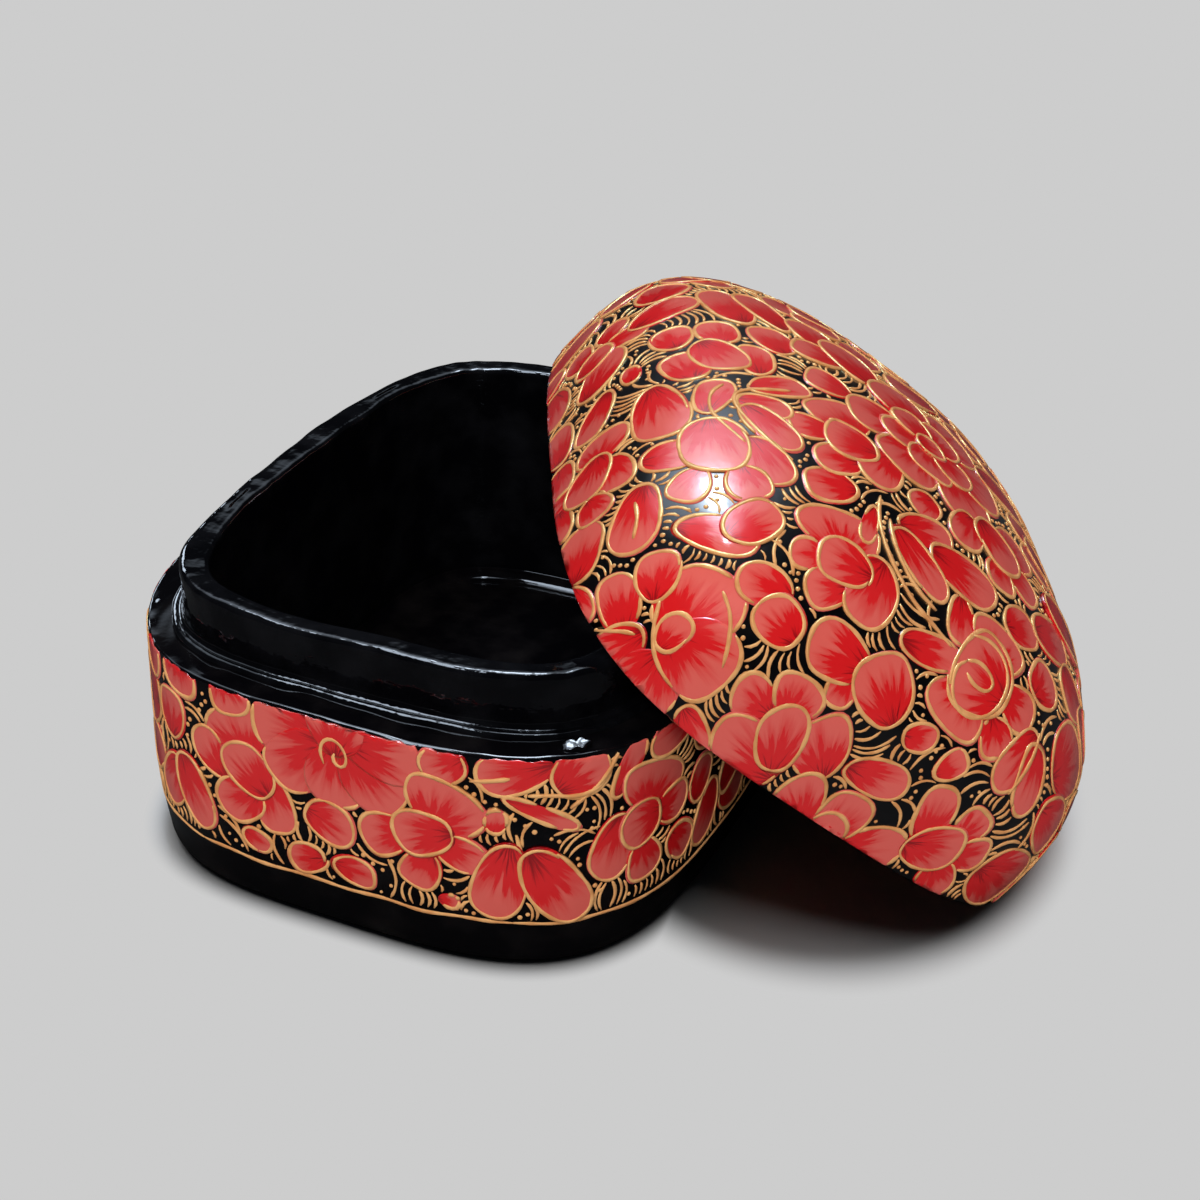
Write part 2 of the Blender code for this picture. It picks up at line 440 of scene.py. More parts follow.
def makeLiner(look):
    # The closed profile swept round the plan.
    return ringSkin("innerLiner", sweepPlan(linerProfile(), look["around"], linerStraying),
                    closedLoop=True)


dropLook = {
    "run": 28.8, "inset": 1.65, "long": 1.6, "wide": 0.90, "high": 0.22, "sunk": 1.5,
    "lean": 18.6, "pitch": 8.2, "ripple": 0.030, "ripples": ((5.1, 0.7), (4.3, 2.0)),
    "around": 48, "climb": (-25, 84), "rings": 11, "roundness": 0.6,
}


def makeVarnishDrop(look):
    # A run of varnish dried on the ledge: a low half ellipsoid with a lumpy outline and a
    # rippled top, sheared so that it slopes towards the ledge's outer edge and lengthwise.
    angle = np.arange(look["around"]) * fullTurn / look["around"]
    edge = np.array([boxShape["baseHeight"]] * 2)
    place, beside = wallPoint(look["run"] + np.array([0.0, 0.1]), edge, boxShape["edgeRound"])
    along = (beside - place) / np.linalg.norm(beside - place)
    inwards = np.array([-along[1], along[0], 0.0])
    place = place + inwards * look["inset"]
    lumps = 1 + handWave(angle, "drop")
    climb = np.radians(np.linspace(*look["climb"], look["rings"]))[:, None]
    x = look["long"] * np.cos(climb) * np.cos(angle) * lumps
    y = look["wide"] * np.cos(climb) * np.sin(angle) * lumps
    steep = np.sin(climb)
    dome = look["high"] * np.abs(steep) ** look["roundness"]
    z = np.where(steep > 0, dome, look["sunk"] * steep)
    z = z + (y + look["wide"]) * math.tan(math.radians(look["lean"]))
    z = z + (x + look["long"] / 2) * math.tan(math.radians(look["pitch"]))
    rippleX, rippleY = (np.sin(waves * way + phase)
                        for way, (waves, phase) in zip((x, y), look["ripples"]))
    z = z + look["ripple"] * rippleX * rippleY * np.maximum(steep, 0)
    rings = place + x[..., None] * along + y[..., None] * inwards + z[..., None] * (0, 0, 1)
    top, bottom = rings[-1].mean(0) + (0, 0, 0.01), rings[0].mean(0)
    return ringSkin("varnishDrop", rings, startPole=bottom, endPole=top)


baseShell = makeBaseShell(baseShellLook)
innerLiner = makeLiner(linerLook)
varnishDrop = makeVarnishDrop(dropLook)
print("base shell and liner made")

# ---- the lid's shell

lidShellLook = {"around": 480, "outerRings": 72, "innerRings": 30}


def makeLidShell(look):
    # Crown to rim outside, round the rim, and up to the crown of the hollow.
    angle = np.arange(look["around"]) * fullTurn / look["around"]
    edge, wall, top = boxShape["rimRound"], boxShape["lidWall"], boxShape["lidHeight"]
    outerRise = np.linspace(math.pi / 2, 0, look["outerRings"] + 1)[1:-1, None]
    outer = domePoint(outerRise, angle, 0.0, top)
    outer = outer[outer[:, 0, 2] > edge * 1.05]
    outer = outer + domeNormal(outer) * domeWave(outer)[..., None]
    rim = np.concatenate([arcSteps(edge, edge, edge, 0, -90, 7),
                          arcSteps(wall - edge, edge, edge, -90, -180, 7)])
    x, y, normalX, normalY = planPoint(angle, boxShape["planPower"])
    sunk = domeWave(np.stack(np.broadcast_arrays(x, y, edge), -1))
    inset = rim[:, :1] - sunk
    height = rim[:, 1:] + np.maximum(0, handWave(angle, "lidRim")) * (rim[:, 1:] < edge)
    rimRings = np.stack(np.broadcast_arrays(x - inset * normalX, y - inset * normalY, height), -1)
    innerRise = np.linspace(0, math.pi / 2, look["innerRings"] + 1)[1:-1, None]
    hollow = top - boxShape["crownWall"]
    rings = np.concatenate([outer, rimRings, domePoint(innerRise, angle, wall, hollow)])
    crown = np.array((0, 0, top + domeWave(np.array((0.0, 0.0, top)))))
    return ringSkin("lidShell", lidWorld(rings), startPole=lidWorld(crown),
                    endPole=lidWorld(np.array((0, 0, hollow))), flip=True)


lidShell = makeLidShell(lidShellLook)
print("lid shell made")

# ---- painting: petals are laid in a chart in millimetres, as a painter sees them.
# A petal is x, y, length, width and heading in degrees, from its dark base to its tip. A 1
# after them says that it shares one gold edge with its neighbours.

wallPetals = [
    (-36.5, 24.0, 8, 8.5, 120), (-35.0, 13.5, 8, 7, 60), (-29.8, 21.6, 7, 8, 180),
    (-29.4, 14.2, 6.6, 6, 60), (-28.2, 27.2, 5, 5.6, 0),
    (-21.2, 27.9, 5.6, 6.4, -90), (-23.2, 21.8, 6.8, 5.5, 85),
    (-23.7, 12.6, 8.6, 5.4, 238), (-19.4, 13.0, 10, 5.4, -62),
    (-12.4, 23.6, 6.4, 8.4, 118), (-16.2, 19.5, 6.6, 5.0, 130), (-7.6, 15.6, 8, 5.2, -75),
    (-12.2, 14.6, 6.6, 5.8, 215), (-10.7, 19.0, 7.6, 6.2, 135),
    (-13.2, 28.2, 5, 5.4, -75), (-10.2, 9.6, 4.2, 3.2, -25),
    (-5.2, 26.6, 9.5, 7.4, 175, 1), (-3.8, 22.6, 9.0, 7.4, 220, 1), (0.6, 21.8, 8.4, 7, 268, 1),
    (5.2, 22.8, 9, 7.4, 318, 1), (6.6, 26.8, 8.8, 7.4, 2, 1), (0.8, 28.2, 7, 7, 90, 1),
    (-0.2, 15.3, 6.8, 5.4, -18), (-3.5, 9.2, 5.2, 4, 200), (2.7, 9.5, 5.9, 4, -5),
    (13.8, 27.0, 5.4, 5.2, 210),
    (14.0, 21.4, 6.6, 9.4, 62), (6.8, 16.1, 6.4, 5.6, 200), (15.9, 15.8, 6, 4.6, -25),
    (11.2, 12.5, 5.4, 5.0, -115), (11.5, 17.4, 7.2, 5.8, 195),
    (19.6, 20.6, 3.2, 2.6, 80), (14.5, 8.8, 2.5, 2.1, 0),
    (20.3, 12.6, 10.6, 5.8, -100), (26.4, 12.2, 11, 6.2, -58),
    (21.6, 27.0, 8.6, 5, 195), (35.0, 25.6, 7.6, 3, 62), (28.9, 26.9, 6.8, 6.6, 40),
    (24.8, 21.6, 10, 1.9, -26),
    (39.0, 22.0, 6.2, 9.6, 72), (33.2, 15.8, 8.6, 5.4, -105), (42.4, 17.6, 5.6, 5.2, 0),
    (37.9, 12.2, 6, 5.4, -80), (37.3, 17.5, 6.4, 6, 190),
    (44.6, 11.6, 6, 5, -40), (50.2, 24.6, 7.4, 6, 20), (48.6, 17.8, 6.2, 5.2, 60),
]
lidPetals = [
    (-52.6, -3.0, 12, 5.6, 90), (-52.2, -14.5, 9.5, 5, -90), (-50.6, -26.4, 8, 4, -80),
    (-46.5, -34.8, 9.8, 7.4, 92), (-38.7, -32.4, 10.4, 6.2, -95),
    (-39.2, -44.2, 8.8, 5.4, 112), (-38.0, -50.3, 7.8, 6.6, 212, 1),
    (-33.0, -54.4, 8.4, 9.2, -105, 1), (-29.4, -44.6, 9.6, 10, 62, 1),
    (-27.8, -50.2, 9.8, 9.0, -28, 1), (-31.4, -48.0, 4.9, 4.4, 60),
    (-35.0, -40.9, 6.4, 5.2, 97),
    (-22.8, -40.7, 6.8, 5, 172), (-19.8, -43.9, 6.2, 5.6, 150),
    (-15.6, -30.6, 6.4, 10.6, 98), (-18.9, -35.1, 4.6, 4.2, 190), (-15.8, -38.4, 5.8, 4.6, 205),
    (-10.3, -35.9, 8.8, 6.6, -100), (-14.5, -34.4, 7.2, 5.7, 180),
    (-9.4, -47.7, 4.4, 3.8, -90), (-11.8, -44.3, 8.4, 6.1, 176), (-4.4, -45.3, 8.4, 7.6, 140),
    (-19.0, -52.8, 5.8, 5, 165), (-14.0, -50.8, 5, 6.8, 88), (-7.4, -54.4, 8.2, 7.4, 135),
    (-16.0, -58.6, 11.5, 7, 165), (-12.9, -55.8, 8.6, 6.3, 112),
    (1.6, -53.9, 9.4, 4.6, 8), (2.8, -47.5, 4.6, 3.5, 20), (8.6, -48.0, 4.4, 3.6, 60),
    (-4.8, -61.4, 8, 7, 142), (9.6, -61.4, 9, 7, 35), (2.2, -60.4, 8, 7.4, 92),
    (2.0, -64.0, 9, 6, 90),
    (-1.0, -38.5, 8.6, 4.3, 12), (2.3, -32.5, 6.8, 4.2, -80), (8.3, -32.4, 6.4, 8.6, 78),
    (13.4, -37.3, 5.8, 5.4, 0), (12.0, -42.4, 5, 5, -45), (5.2, -42.4, 6, 8.6, -100),
    (7.1, -37.2, 8.6, 10.6, 170),
    (16.9, -31.5, 6.3, 6, 60), (16.6, -42.4, 9, 4.6, -104), (20.0, -42.6, 8.8, 4.8, -68),
    (25.8, -35.6, 9.6, 9, 60), (28.6, -42.8, 8.4, 7, 15), (30.4, -51.6, 11, 9, 20),
    (12.1, -53.4, 7.8, 5.2, 118), (17.6, -51.3, 5, 5, 90), (21.7, -53.5, 5.2, 4.9, 38),
    (22.0, -58.5, 7, 5.4, -20), (16.4, -56.1, 8, 6.7, 25),
    (-17.2, -24.0, 7.4, 5.2, 200),
    (-15.5, -9.2, 6.8, 9.2, 118), (-19.6, -14.1, 5.8, 5, 195), (-16.4, -18.8, 6.2, 5.2, 200),
    (-10.4, -16.2, 8, 6, -115), (-14.3, -13.9, 7.4, 6.8, 180),
    (-25.1, -12.0, 6.6, 4.5, -8), (-24.5, -16.5, 9.6, 4.8, -52),
    (-3.9, -18.1, 5.4, 4.4, -130),
    (-3.9, -22.9, 8.6, 4.6, 24), (2.0, -25.8, 10.8, 6.4, -4), (-4.8, -28.4, 10.4, 4.9, -38),
    (-12.0, -27.2, 6.4, 2.2, -100),
    (-46.0, -4.6, 10.4, 5.7, -112),
    (-51.0, -20.5, 8, 4, 200), (-45.0, -14.0, 7.2, 8, 85), (-42.5, -22.0, 8, 4.9, -72),
    (-45.0, -27.5, 5.6, 5.2, -65), (-46.6, -20.2, 9.4, 6.6, -102),
    (-37.2, -12.2, 12.8, 6.8, -82),
    (-25.0, -22.9, 8.4, 5.8, -62), (-26.9, -27.6, 5.8, 5.2, -72), (-33.0, -28.4, 5.6, 4.8, -110),
    (-36.1, -22.5, 6.4, 5.8, 0), (-30.9, -20.8, 9.9, 7.8, -84),
    (-29.3, -35.4, 9.6, 5, -12), (-25.9, -33.2, 7.4, 5.4, 48),
    (-46.6, 18.5, 6.4, 5, 90), (-41.4, 18.0, 5.2, 4.8, 30), (-40.2, 13.2, 7, 4.4, -20),
    (-44.6, 7.2, 10, 7, 62), (-44.9, 13.2, 6.4, 5.6, 20), (-40.4, 0.6, 5, 2.8, 90),
    (-34.6, 6.3, 6.4, 5.5, 95), (-29.0, 6.6, 6.6, 5.4, 95),
    (-33.7, -2.2, 8, 6, 102), (-25.0, -0.5, 8, 4.8, 92), (-29.6, 0.2, 8.6, 6.2, -64),
    (-33.6, 23.6, 8.4, 6.6, 60), (-34.6, 15.8, 10, 6, 35),
    (-26.6, 16.0, 12.6, 5.8, 100), (-21.6, 16.6, 11.4, 5, 108),
    (-22.2, 6.4, 7.2, 5.8, 112),
    (-15.6, 13.2, 7.6, 6.2, 100), (-16.3, 6.8, 7, 5.8, 170), (-8.6, 14.0, 8, 6.5, 60),
    (-10.9, 8.8, 9.8, 7.2, 112),
    (-16.0, -1.3, 6.4, 5.9, 165),
    (-9.3, -4.6, 9, 8, 185), (-5.6, -10.4, 9, 9, 235), (2.6, -10.6, 9, 9, 300),
    (6.0, -4.4, 9, 8.6, 350), (3.0, 2.6, 9, 9, 50), (-4.6, 3.4, 9, 9, 120),
    (-5.6, -4.8, 6.8, 6, 190), (-2.2, -8.0, 6.4, 6.6, 265), (1.8, -5.6, 6.6, 6, 330),
    (0.6, -0.6, 6.4, 6.4, 60), (-3.6, -0.8, 6, 6, 130), (-1.5, -4.0, 4.6, 4.2, 20),
    (11.6, -13.0, 7, 7, 50), (2.7, -17.2, 7.2, 5.4, -110), (12.4, -18.7, 6.2, 5.2, -30),
    (8.1, -20.9, 5.2, 4.8, -80), (8.2, -15.4, 8, 7, -40),
    (11.8, -26.6, 6.4, 5.7, 35), (18.4, -22.9, 8.6, 6.4, 25), (24.0, -26.8, 7, 7, -40),
]
# Strokes of gold drawn by hand over the petals, as points of the chart.
wallStrokes = [
    [(-0.7, 23.1), (-1.2, 24.6), (-0.8, 26.1), (0.3, 26.8), (1.6, 26.2), (2.3, 24.7), (1.9, 23.3),
     (0.9, 23.3), (0.4, 24.2), (0.7, 24.9)],
    [(22.0, 19.0), (22.6, 16.5), (23.2, 13.5), (23.4, 11.0), (24.2, 9.8)],
    [(27.9, 22.3), (30.0, 23.8), (32.0, 25.6), (33.4, 28.2)],
    [(23.2, 24.2), (26.0, 24.2), (28.6, 23.7), (31.2, 24.3), (32.4, 26.0)],
    [(16.8, 25.5), (19.0, 25.8), (21.2, 26.3)],
]
lidStrokes = [
    [(4.2, -33.4), (6.4, -32.4), (9.2, -33.0), (10.9, -35.6), (10.6, -39.2), (8.6, -42.0),
     (5.6, -42.8), (3.4, -41.2), (2.8, -38.4), (4.2, -36.8)],
    [(4.2, -36.8), (5.6, -36.0), (7.6, -36.2), (8.9, -37.4), (8.0, -38.8), (6.0, -39.0),
     (4.6, -38.2)],
    [(-41.5, -47.6), (-39.5, -47.9), (-37.6, -48.0), (-36.0, -48.4)],
    [(-33.9, -44.2), (-34.0, -47.0), (-33.4, -50.0), (-31.6, -52.6), (-29.4, -54.2)],
    [(-27.2, -42.4), (-25.6, -44.6), (-24.7, -47.4), (-24.3, -50.6)],
    [(-10.8, -21.8), (-11.0, -25.0), (-10.2, -28.4), (-8.0, -31.8), (-5.0, -34.4), (-1.4, -35.6),
     (1.6, -36.6)],
    [(-9.4, -24.8), (-8.8, -27.6), (-7.2, -30.4), (-4.8, -32.6), (-1.6, -33.6)],
    [(-39.0, -29.8), (-38.4, -32.4), (-38.6, -35.4)],
    [(-29.6, -8.0), (-31.0, -9.6), (-31.4, -12.0), (-31.2, -14.6), (-29.6, -17.6), (-27.4, -20.6)],
    [(-21.6, -7.2), (-24.0, -8.0), (-27.0, -8.8), (-28.6, -10.4), (-28.4, -13.2), (-26.6, -17.0),
     (-24.0, -20.4), (-22.0, -22.0)],
    [(18.0, -37.6), (18.4, -40.0), (18.3, -43.0), (18.0, -46.0)],
]

# A petal is a pad of rings and spokes. Lifts are in mm, and its wobble is waves and size.
petalLook = {
    "rings": (0.3, 0.58, 0.8, 0.93, 1.0), "spokes": 28, "sunk": 0.10, "rest": 0.035,
    "step": 0.018, "swell": 0.014, "egg": 0.14, "square": 0.88, "spread": 1.05,
    "wobble": ((2, 0.03), (3, 0.025), (5, 0.012)),
    "root": 0.56, "brushLong": 1.08, "brushWide": 0.62,
}
# Widths and thickness of the gold, how far it slips off the petal, and how it is pressed.
goldLook = {
    "outline": 0.54, "drawn": 0.54, "rung": 0.41, "dot": 0.30, "thick": 0.05, "footLine": 0.56,
    "pointGap": 0.55, "over": 0.02, "sunk": -0.05, "drawnLevel": 6.0, "slip": 0.16,
    "inwards": (0.25, 0.6), "beside": (0.93, 1.10), "widths": (0.85, 1.15), "drift": 0.5,
    "rungWidths": (0.85, 1.2), "taper": (0.55, 12), "press": ((0.16, 0.9), (0.09, 2.9)),
    "section": ((-1.0, 0.0), (-0.68, 1.0), (0.68, 1.0), (1.0, 0.0)),
    "dotRings": ((1.0, -0.05), (0.85, 0.09), (0.35, 0.15)),
}
# Gaps of a few sizes get a flower, a pair or a single petal, each a little short of the gap.
fillLook = {
    "cell": 0.22, "margin": 4.5, "seed": 41, "sizes": (7.6, 5.4, 3.7, 2.7), "outline": 72,
    "flower": 6.5, "pair": 4.6, "fit": (0.94, 1.12, 1.06), "clear": (0.25, 0.5),
    "long": (0.62, 3.4), "wide": 0.86, "headings": 16, "feel": (0.3, 1.7), "feels": 6,
    "feelOpen": 0.55, "offset": 0.6,
}
# Shares of the gap's radius, or ranges that a share is drawn from, and turns in degrees.
flowerLook = {
    "petals": (4, 6), "size": (0.92, 1.02), "away": 0.56, "uneven": 9, "twist": 35,
    "length": (0.84, 0.98), "width": (0.86, 1.04), "topAway": 0.8, "topSize": (0.98, 0.82),
    "pairSize": (1.02, 1.45), "pairAway": 0.36, "pairTurns": (62, 118),
    "singleLength": (1.9, 2.1), "singleWidth": (1.55, 1.8),
}
# Short strokes across the gaps: where they stand, how far they reach, and where dots do.
rungLook = {
    "least": 0.40, "most": 3.2, "gap": 0.80, "comb": 2.4, "clear": 0.43, "fromDot": 1.15,
    "open": 0.26, "step": 0.12, "reach": 3.6, "bow": 0.16, "shortest": 0.7,
    "dotted": 0.34, "dottedReach": 2.6, "dotRoom": 0.72, "ridge": 1.1, "bareDot": 0.2,
    "bowTurns": -0.1, "points": 7,
}
# Rows of dots that stand between the petals.
wallDots = [
    (-9.0, 24.2), (-8.0, 22.8), (-7.0, 21.5), (-5.8, 20.2), (-4.6, 18.9), (-16.7, 14.8),
    (-16.0, 13.6), (-15.3, 12.4), (-14.5, 11.3), (2.5, 12.8), (4.0, 12.2), (5.2, 11.4),
    (6.4, 10.9), (17.3, 23.8), (18.5, 23.0), (20.2, 22.4), (21.8, 21.0), (23.0, 20.2),
    (24.0, 19.4),
]
lidDots = [
    (-30.0, -14.0), (-29.0, -15.2), (-27.9, -16.3), (-26.8, -17.5), (-25.6, -18.7),
    (-24.4, -19.9), (-23.2, -21.0), (-22.0, -22.0), (-24.0, -44.5), (-23.7, -45.7),
    (-23.3, -46.9), (-22.9, -48.0), (-22.5, -49.0), (-42.5, -42.0), (-42.3, -43.4),
    (-42.0, -44.8), (-41.8, -46.2), (-41.5, -47.5),
]


def petalOutline(row, angles, seed):
    # Egg-shaped ring: cosine along, sine across, swelling to the tip, with a hand wobble.
    phases = np.random.default_rng(seed).uniform(0, fullTurn, len(petalLook["wobble"]))
    wobble = 1 + sum(size * np.cos(count * angles + phase)
                     for (count, size), phase in zip(petalLook["wobble"], phases))
    cosine, sine = np.cos(angles), np.sin(angles)
    power = petalLook["square"]
    along = np.sign(cosine) * np.abs(cosine) ** power
    across = np.sign(sine) * np.abs(sine) ** power * (1 + petalLook["egg"] * cosine)
    long, wide = row[2:4] / 2 * petalLook["spread"]
    return long * along * wobble, wide * across * wobble


def layDown(rows, along, across, squeeze):
    # Petal's own coordinates to the chart; squeeze narrows it across the chart's radius.
    heading = np.radians(rows[:, 4])[:, None]
    dx = along * np.cos(heading) - across * np.sin(heading)
    dy = along * np.sin(heading) + across * np.cos(heading)
    radius = np.hypot(rows[:, 0], rows[:, 1])[:, None] + 1e-9
    outX, outY = rows[:, :1] / radius, rows[:, 1:2] / radius
    outwards = dx * outX + dy * outY
    sideways = (dy * outX - dx * outY) / squeeze[:, None]
    x = rows[:, :1] + outwards * outX - sideways * outY
    y = rows[:, 1:2] + outwards * outY + sideways * outX
    return x, y


def newCanvas(low, high, borders):
    # A grid of cells that knows the petal on it, the bare gap, and the nearest edge.
    x, y = np.meshgrid(*(np.arange(low[k], high[k], fillLook["cell"]) for k in (0, 1)))
    gap, nearX, nearY = borders(x, y)
    return {"x": x, "y": y, "corner": np.array(low), "gap": gap, "nearX": nearX,
            "nearY": nearY, "owner": np.full(x.shape, -1), "level": np.zeros(x.shape)}


def stampPetal(canvas, outline, number):
    # Cells near the outline learn their distance to it, and cells inside their owner.
    cell, margin = fillLook["cell"], fillLook["margin"]
    low = ((outline.min(0) - margin - canvas["corner"]) / cell).astype(int)
    high = ((outline.max(0) + margin - canvas["corner"]) / cell).astype(int)
    height, width = canvas["x"].shape
    window = (slice(max(low[1], 0), min(high[1] + 1, height)),
              slice(max(low[0], 0), min(high[0] + 1, width)))
    cells = np.stack([canvas["x"][window], canvas["y"][window]], -1)
    if not cells.size:
        return 0.0
    apart = cells[:, :, None] - outline
    square = (apart ** 2).sum(-1)
    nearest = square.argmin(-1)
    away = np.take_along_axis(apart, nearest[..., None, None], 2)[:, :, 0]
    tangent = (np.roll(outline, -1, 0) - np.roll(outline, 1, 0))[nearest]
    inside = away[..., 0] * tangent[..., 1] - away[..., 1] * tangent[..., 0] < 0
    distance = np.sqrt(square.min(-1))
    near = {name: canvas[name][window] for name in ("gap", "nearX", "nearY", "owner", "level")}
    level = 1 + near["level"][inside].max(initial=0)
    closer = (distance < near["gap"]) | inside
    near["gap"][closer] = np.where(inside, 0, distance)[closer]
    near["nearX"][closer] = outline[nearest, 0][closer]
    near["nearY"][closer] = outline[nearest, 1][closer]
    near["owner"][inside], near["level"][inside] = number, level
    return level


def readCanvas(canvas, name, x, y):
    # The value of the cell under each point.
    height, width = canvas["x"].shape
    lowX, lowY = canvas["corner"]
    column = np.clip(((x - lowX) / fillLook["cell"] + 0.5).astype(int), 0, width - 1)
    row = np.clip(((y - lowY) / fillLook["cell"] + 0.5).astype(int), 0, height - 1)
    return canvas[name][row, column]


def closeBorder(canvas, distance, nearX, nearY):
    # The painted band's own border counts as an edge too.
    nearer = distance < canvas["gap"]
    canvas["nearX"][nearer], canvas["nearY"][nearer] = nearX[nearer], nearY[nearer]
    canvas["gap"] = np.minimum(canvas["gap"], distance)


def petalGroup(rng, x, y, radius):
    # One flower for a round gap: a ring of petals and one on top, or fewer when it is small.
    look, turn = flowerLook, rng.uniform(0, 360)

    def stray(limit):
        return rng.uniform(-limit, limit)

    if radius > fillLook["flower"]:
        count = rng.integers(*look["petals"])
        size = radius * rng.uniform(*look["size"])
        away = size * look["away"]
        rows = []
        for number in range(count):
            heading = turn + 360 * number / count + stray(look["uneven"])
            rows.append((x + away * math.cos(math.radians(heading)),
                         y + away * math.sin(math.radians(heading)),
                         size * rng.uniform(*look["length"]), size * rng.uniform(*look["width"]),
                         heading + stray(look["twist"])))
        length, width = look["topSize"]
        rows.append((x + stray(look["topAway"]), y + stray(look["topAway"]), size * length,
                     size * width, turn + rng.uniform(0, 360)))
        return rows
    if radius > fillLook["pair"]:
        width, length = look["pairSize"]
        size = radius * width
        away = size * look["pairAway"]
        shiftX, shiftY = away * math.cos(math.radians(turn)), away * math.sin(math.radians(turn))
        return [(x + sign * shiftX, y + sign * shiftY, size * length, size, turn + angle)
                for sign, angle in zip((1, -1), look["pairTurns"])]
    return [(x, y, radius * rng.uniform(*look["singleLength"]),
             radius * rng.uniform(*look["singleWidth"]), turn)]


def longWay(canvas, x, y, radius):
    # Of several headings, the one along which the bare gap reaches furthest both ways.
    look, (near, far) = fillLook, fillLook["feel"]
    headings = np.radians(np.arange(0, 180, 180 / look["headings"]))
    steps = np.linspace(near, far, look["feels"]) * radius
    reach = []
    for sign in (1, -1):
        gaps = readCanvas(canvas, "gap", x + sign * np.cos(headings)[:, None] * steps,
                          y + sign * np.sin(headings)[:, None] * steps)
        reach.append(np.cumprod(gaps > radius * look["feelOpen"], 1).sum(1))
    ahead, behind = reach
    best = int((ahead + behind).argmax())
    share = (far - near) / look["feels"] * radius
    return headings[best], ahead[best] * share, behind[best] * share


def fillCanvas(canvas, heroRows, squeezeAt, copies):
    # Hero petals first, then flowers, pairs, single petals and buds, each size where it fits.
    # A row is a petal and its bloom's number, 0 for none.
    look = fillLook
    rng = np.random.default_rng(look["seed"])
    angles = np.arange(look["outline"]) * fullTurn / look["outline"]
    least, most, group = look["fit"]
    stretch, longest = look["long"]
    groupClear, singleClear = look["clear"]
    rows, squeezes, levels = [], [], []

    def addRows(newRows, squeeze):
        for row in newRows:
            row = np.array((*row, 0)[:6], float)
            along, across = petalOutline(row, angles, len(rows))
            x, y = layDown(row[None], along[None], across[None], np.array([squeeze]))
            levels.append(max(stampPetal(canvas, np.stack([x[0] + shift, y[0]], -1), len(rows))
                              for shift in copies))
            rows.append(row)
            squeezes.append(squeeze)

    addRows(heroRows, 1.0)
    for size in look["sizes"]:
        while True:
            fits = np.argwhere((canvas["gap"] > size * least) & (canvas["gap"] < size * most))
            if not len(fits):
                fits = np.argwhere(canvas["gap"] >= size * least)
            if not len(fits):
                break
            row, column = fits[rng.integers(len(fits))]
            x, y, gap = (canvas[name][row, column] for name in ("x", "y", "gap"))
            if size > look["pair"]:
                addRows(petalGroup(rng, x, y, min(gap, size * group) - groupClear),
                        float(squeezeAt(x, y)))
                continue
            heading, ahead, behind = longWay(canvas, x, y, gap)
            shift, offset = (ahead - behind) / 2, look["offset"]
            length = min(2 * gap + (ahead + behind) * stretch, longest * gap) - singleClear
            turn = math.degrees(heading) + 180 * rng.integers(2)
            addRows([(x + shift * math.cos(heading) * offset,
                      y + shift * math.sin(heading) * offset,
                      length, 2 * gap * look["wide"], turn)], 1.0)
    return np.array(rows), np.array(squeezes), np.array(levels)


def petalPatches(name, rows, squeezes, levels, surface, clampEdge):
    # Each petal is a thin closed pad: rings on a low swell above, one sunk ring below. Its
    # brush attribute is the reach from a root below its base, the swing, and a number.
    look, spokes, count = petalLook, petalLook["spokes"], len(rows)
    angles = np.arange(spokes) * fullTurn / spokes
    outlines = np.array([petalOutline(row, angles, number) for number, row in enumerate(rows)])
    steps = np.array([*look["rings"], 1.0])[:, None]
    middle = np.zeros((count, 1))
    along, across = (np.concatenate([middle, (outlines[:, None, k] * steps).reshape(count, -1),
                                     middle], 1) for k in (0, 1))
    shares = np.concatenate([[0.0], np.repeat(look["rings"], spokes)])
    top = look["rest"] + look["step"] * levels[:, None] + look["swell"] * (1 - shares ** 4)
    lift = np.concatenate([top, np.full((count, spokes + 1), -look["sunk"])], 1)
    x, y = clampEdge(*layDown(rows, along, across, squeezes))
    length = rows[:, 2:3]
    fromRoot = along + length * look["root"]
    reach = np.hypot(fromRoot, across) / (length * look["brushLong"])
    swing = np.arctan2(across, fromRoot) * length * look["brushWide"]
    numbers = (np.arange(count) * 0.618 % 1)[:, None] * 40 + 0 * reach
    around = np.arange(spokes)
    after = (around + 1) % spokes
    bottom = 1 + len(look["rings"]) * spokes
    fans = np.concatenate([np.stack([0 * around, 1 + around, 1 + after], -1), np.stack(
        [0 * around + bottom + spokes, bottom + after, bottom + around], -1)])
    inner = 1 + np.arange(len(look["rings"]))[:, None] * spokes
    quads = np.stack([inner + around, inner + spokes + around, inner + spokes + after,
                      inner + after], -1).reshape(-1, 4)
    shifts = (np.arange(count) * along.shape[1])[:, None, None]
    return makeMesh(name, surface(x.ravel(), y.ravel(), lift.ravel()),
                    [(fans + shifts).reshape(-1, 3), (quads + shifts).reshape(-1, 4)],
                    np.stack([reach, swing, numbers], -1).reshape(-1, 3))


def visibleRuns(shown):
    # Start and length of each stretch of shown points round a ring.
    starts = np.flatnonzero(shown & ~np.roll(shown, 1))
    ends = np.flatnonzero(shown & ~np.roll(shown, -1))
    return [(start, (ends[ends >= start].min() if (ends >= start).any()
                     else ends.min() + len(shown)) - start + 1) for start in starts]


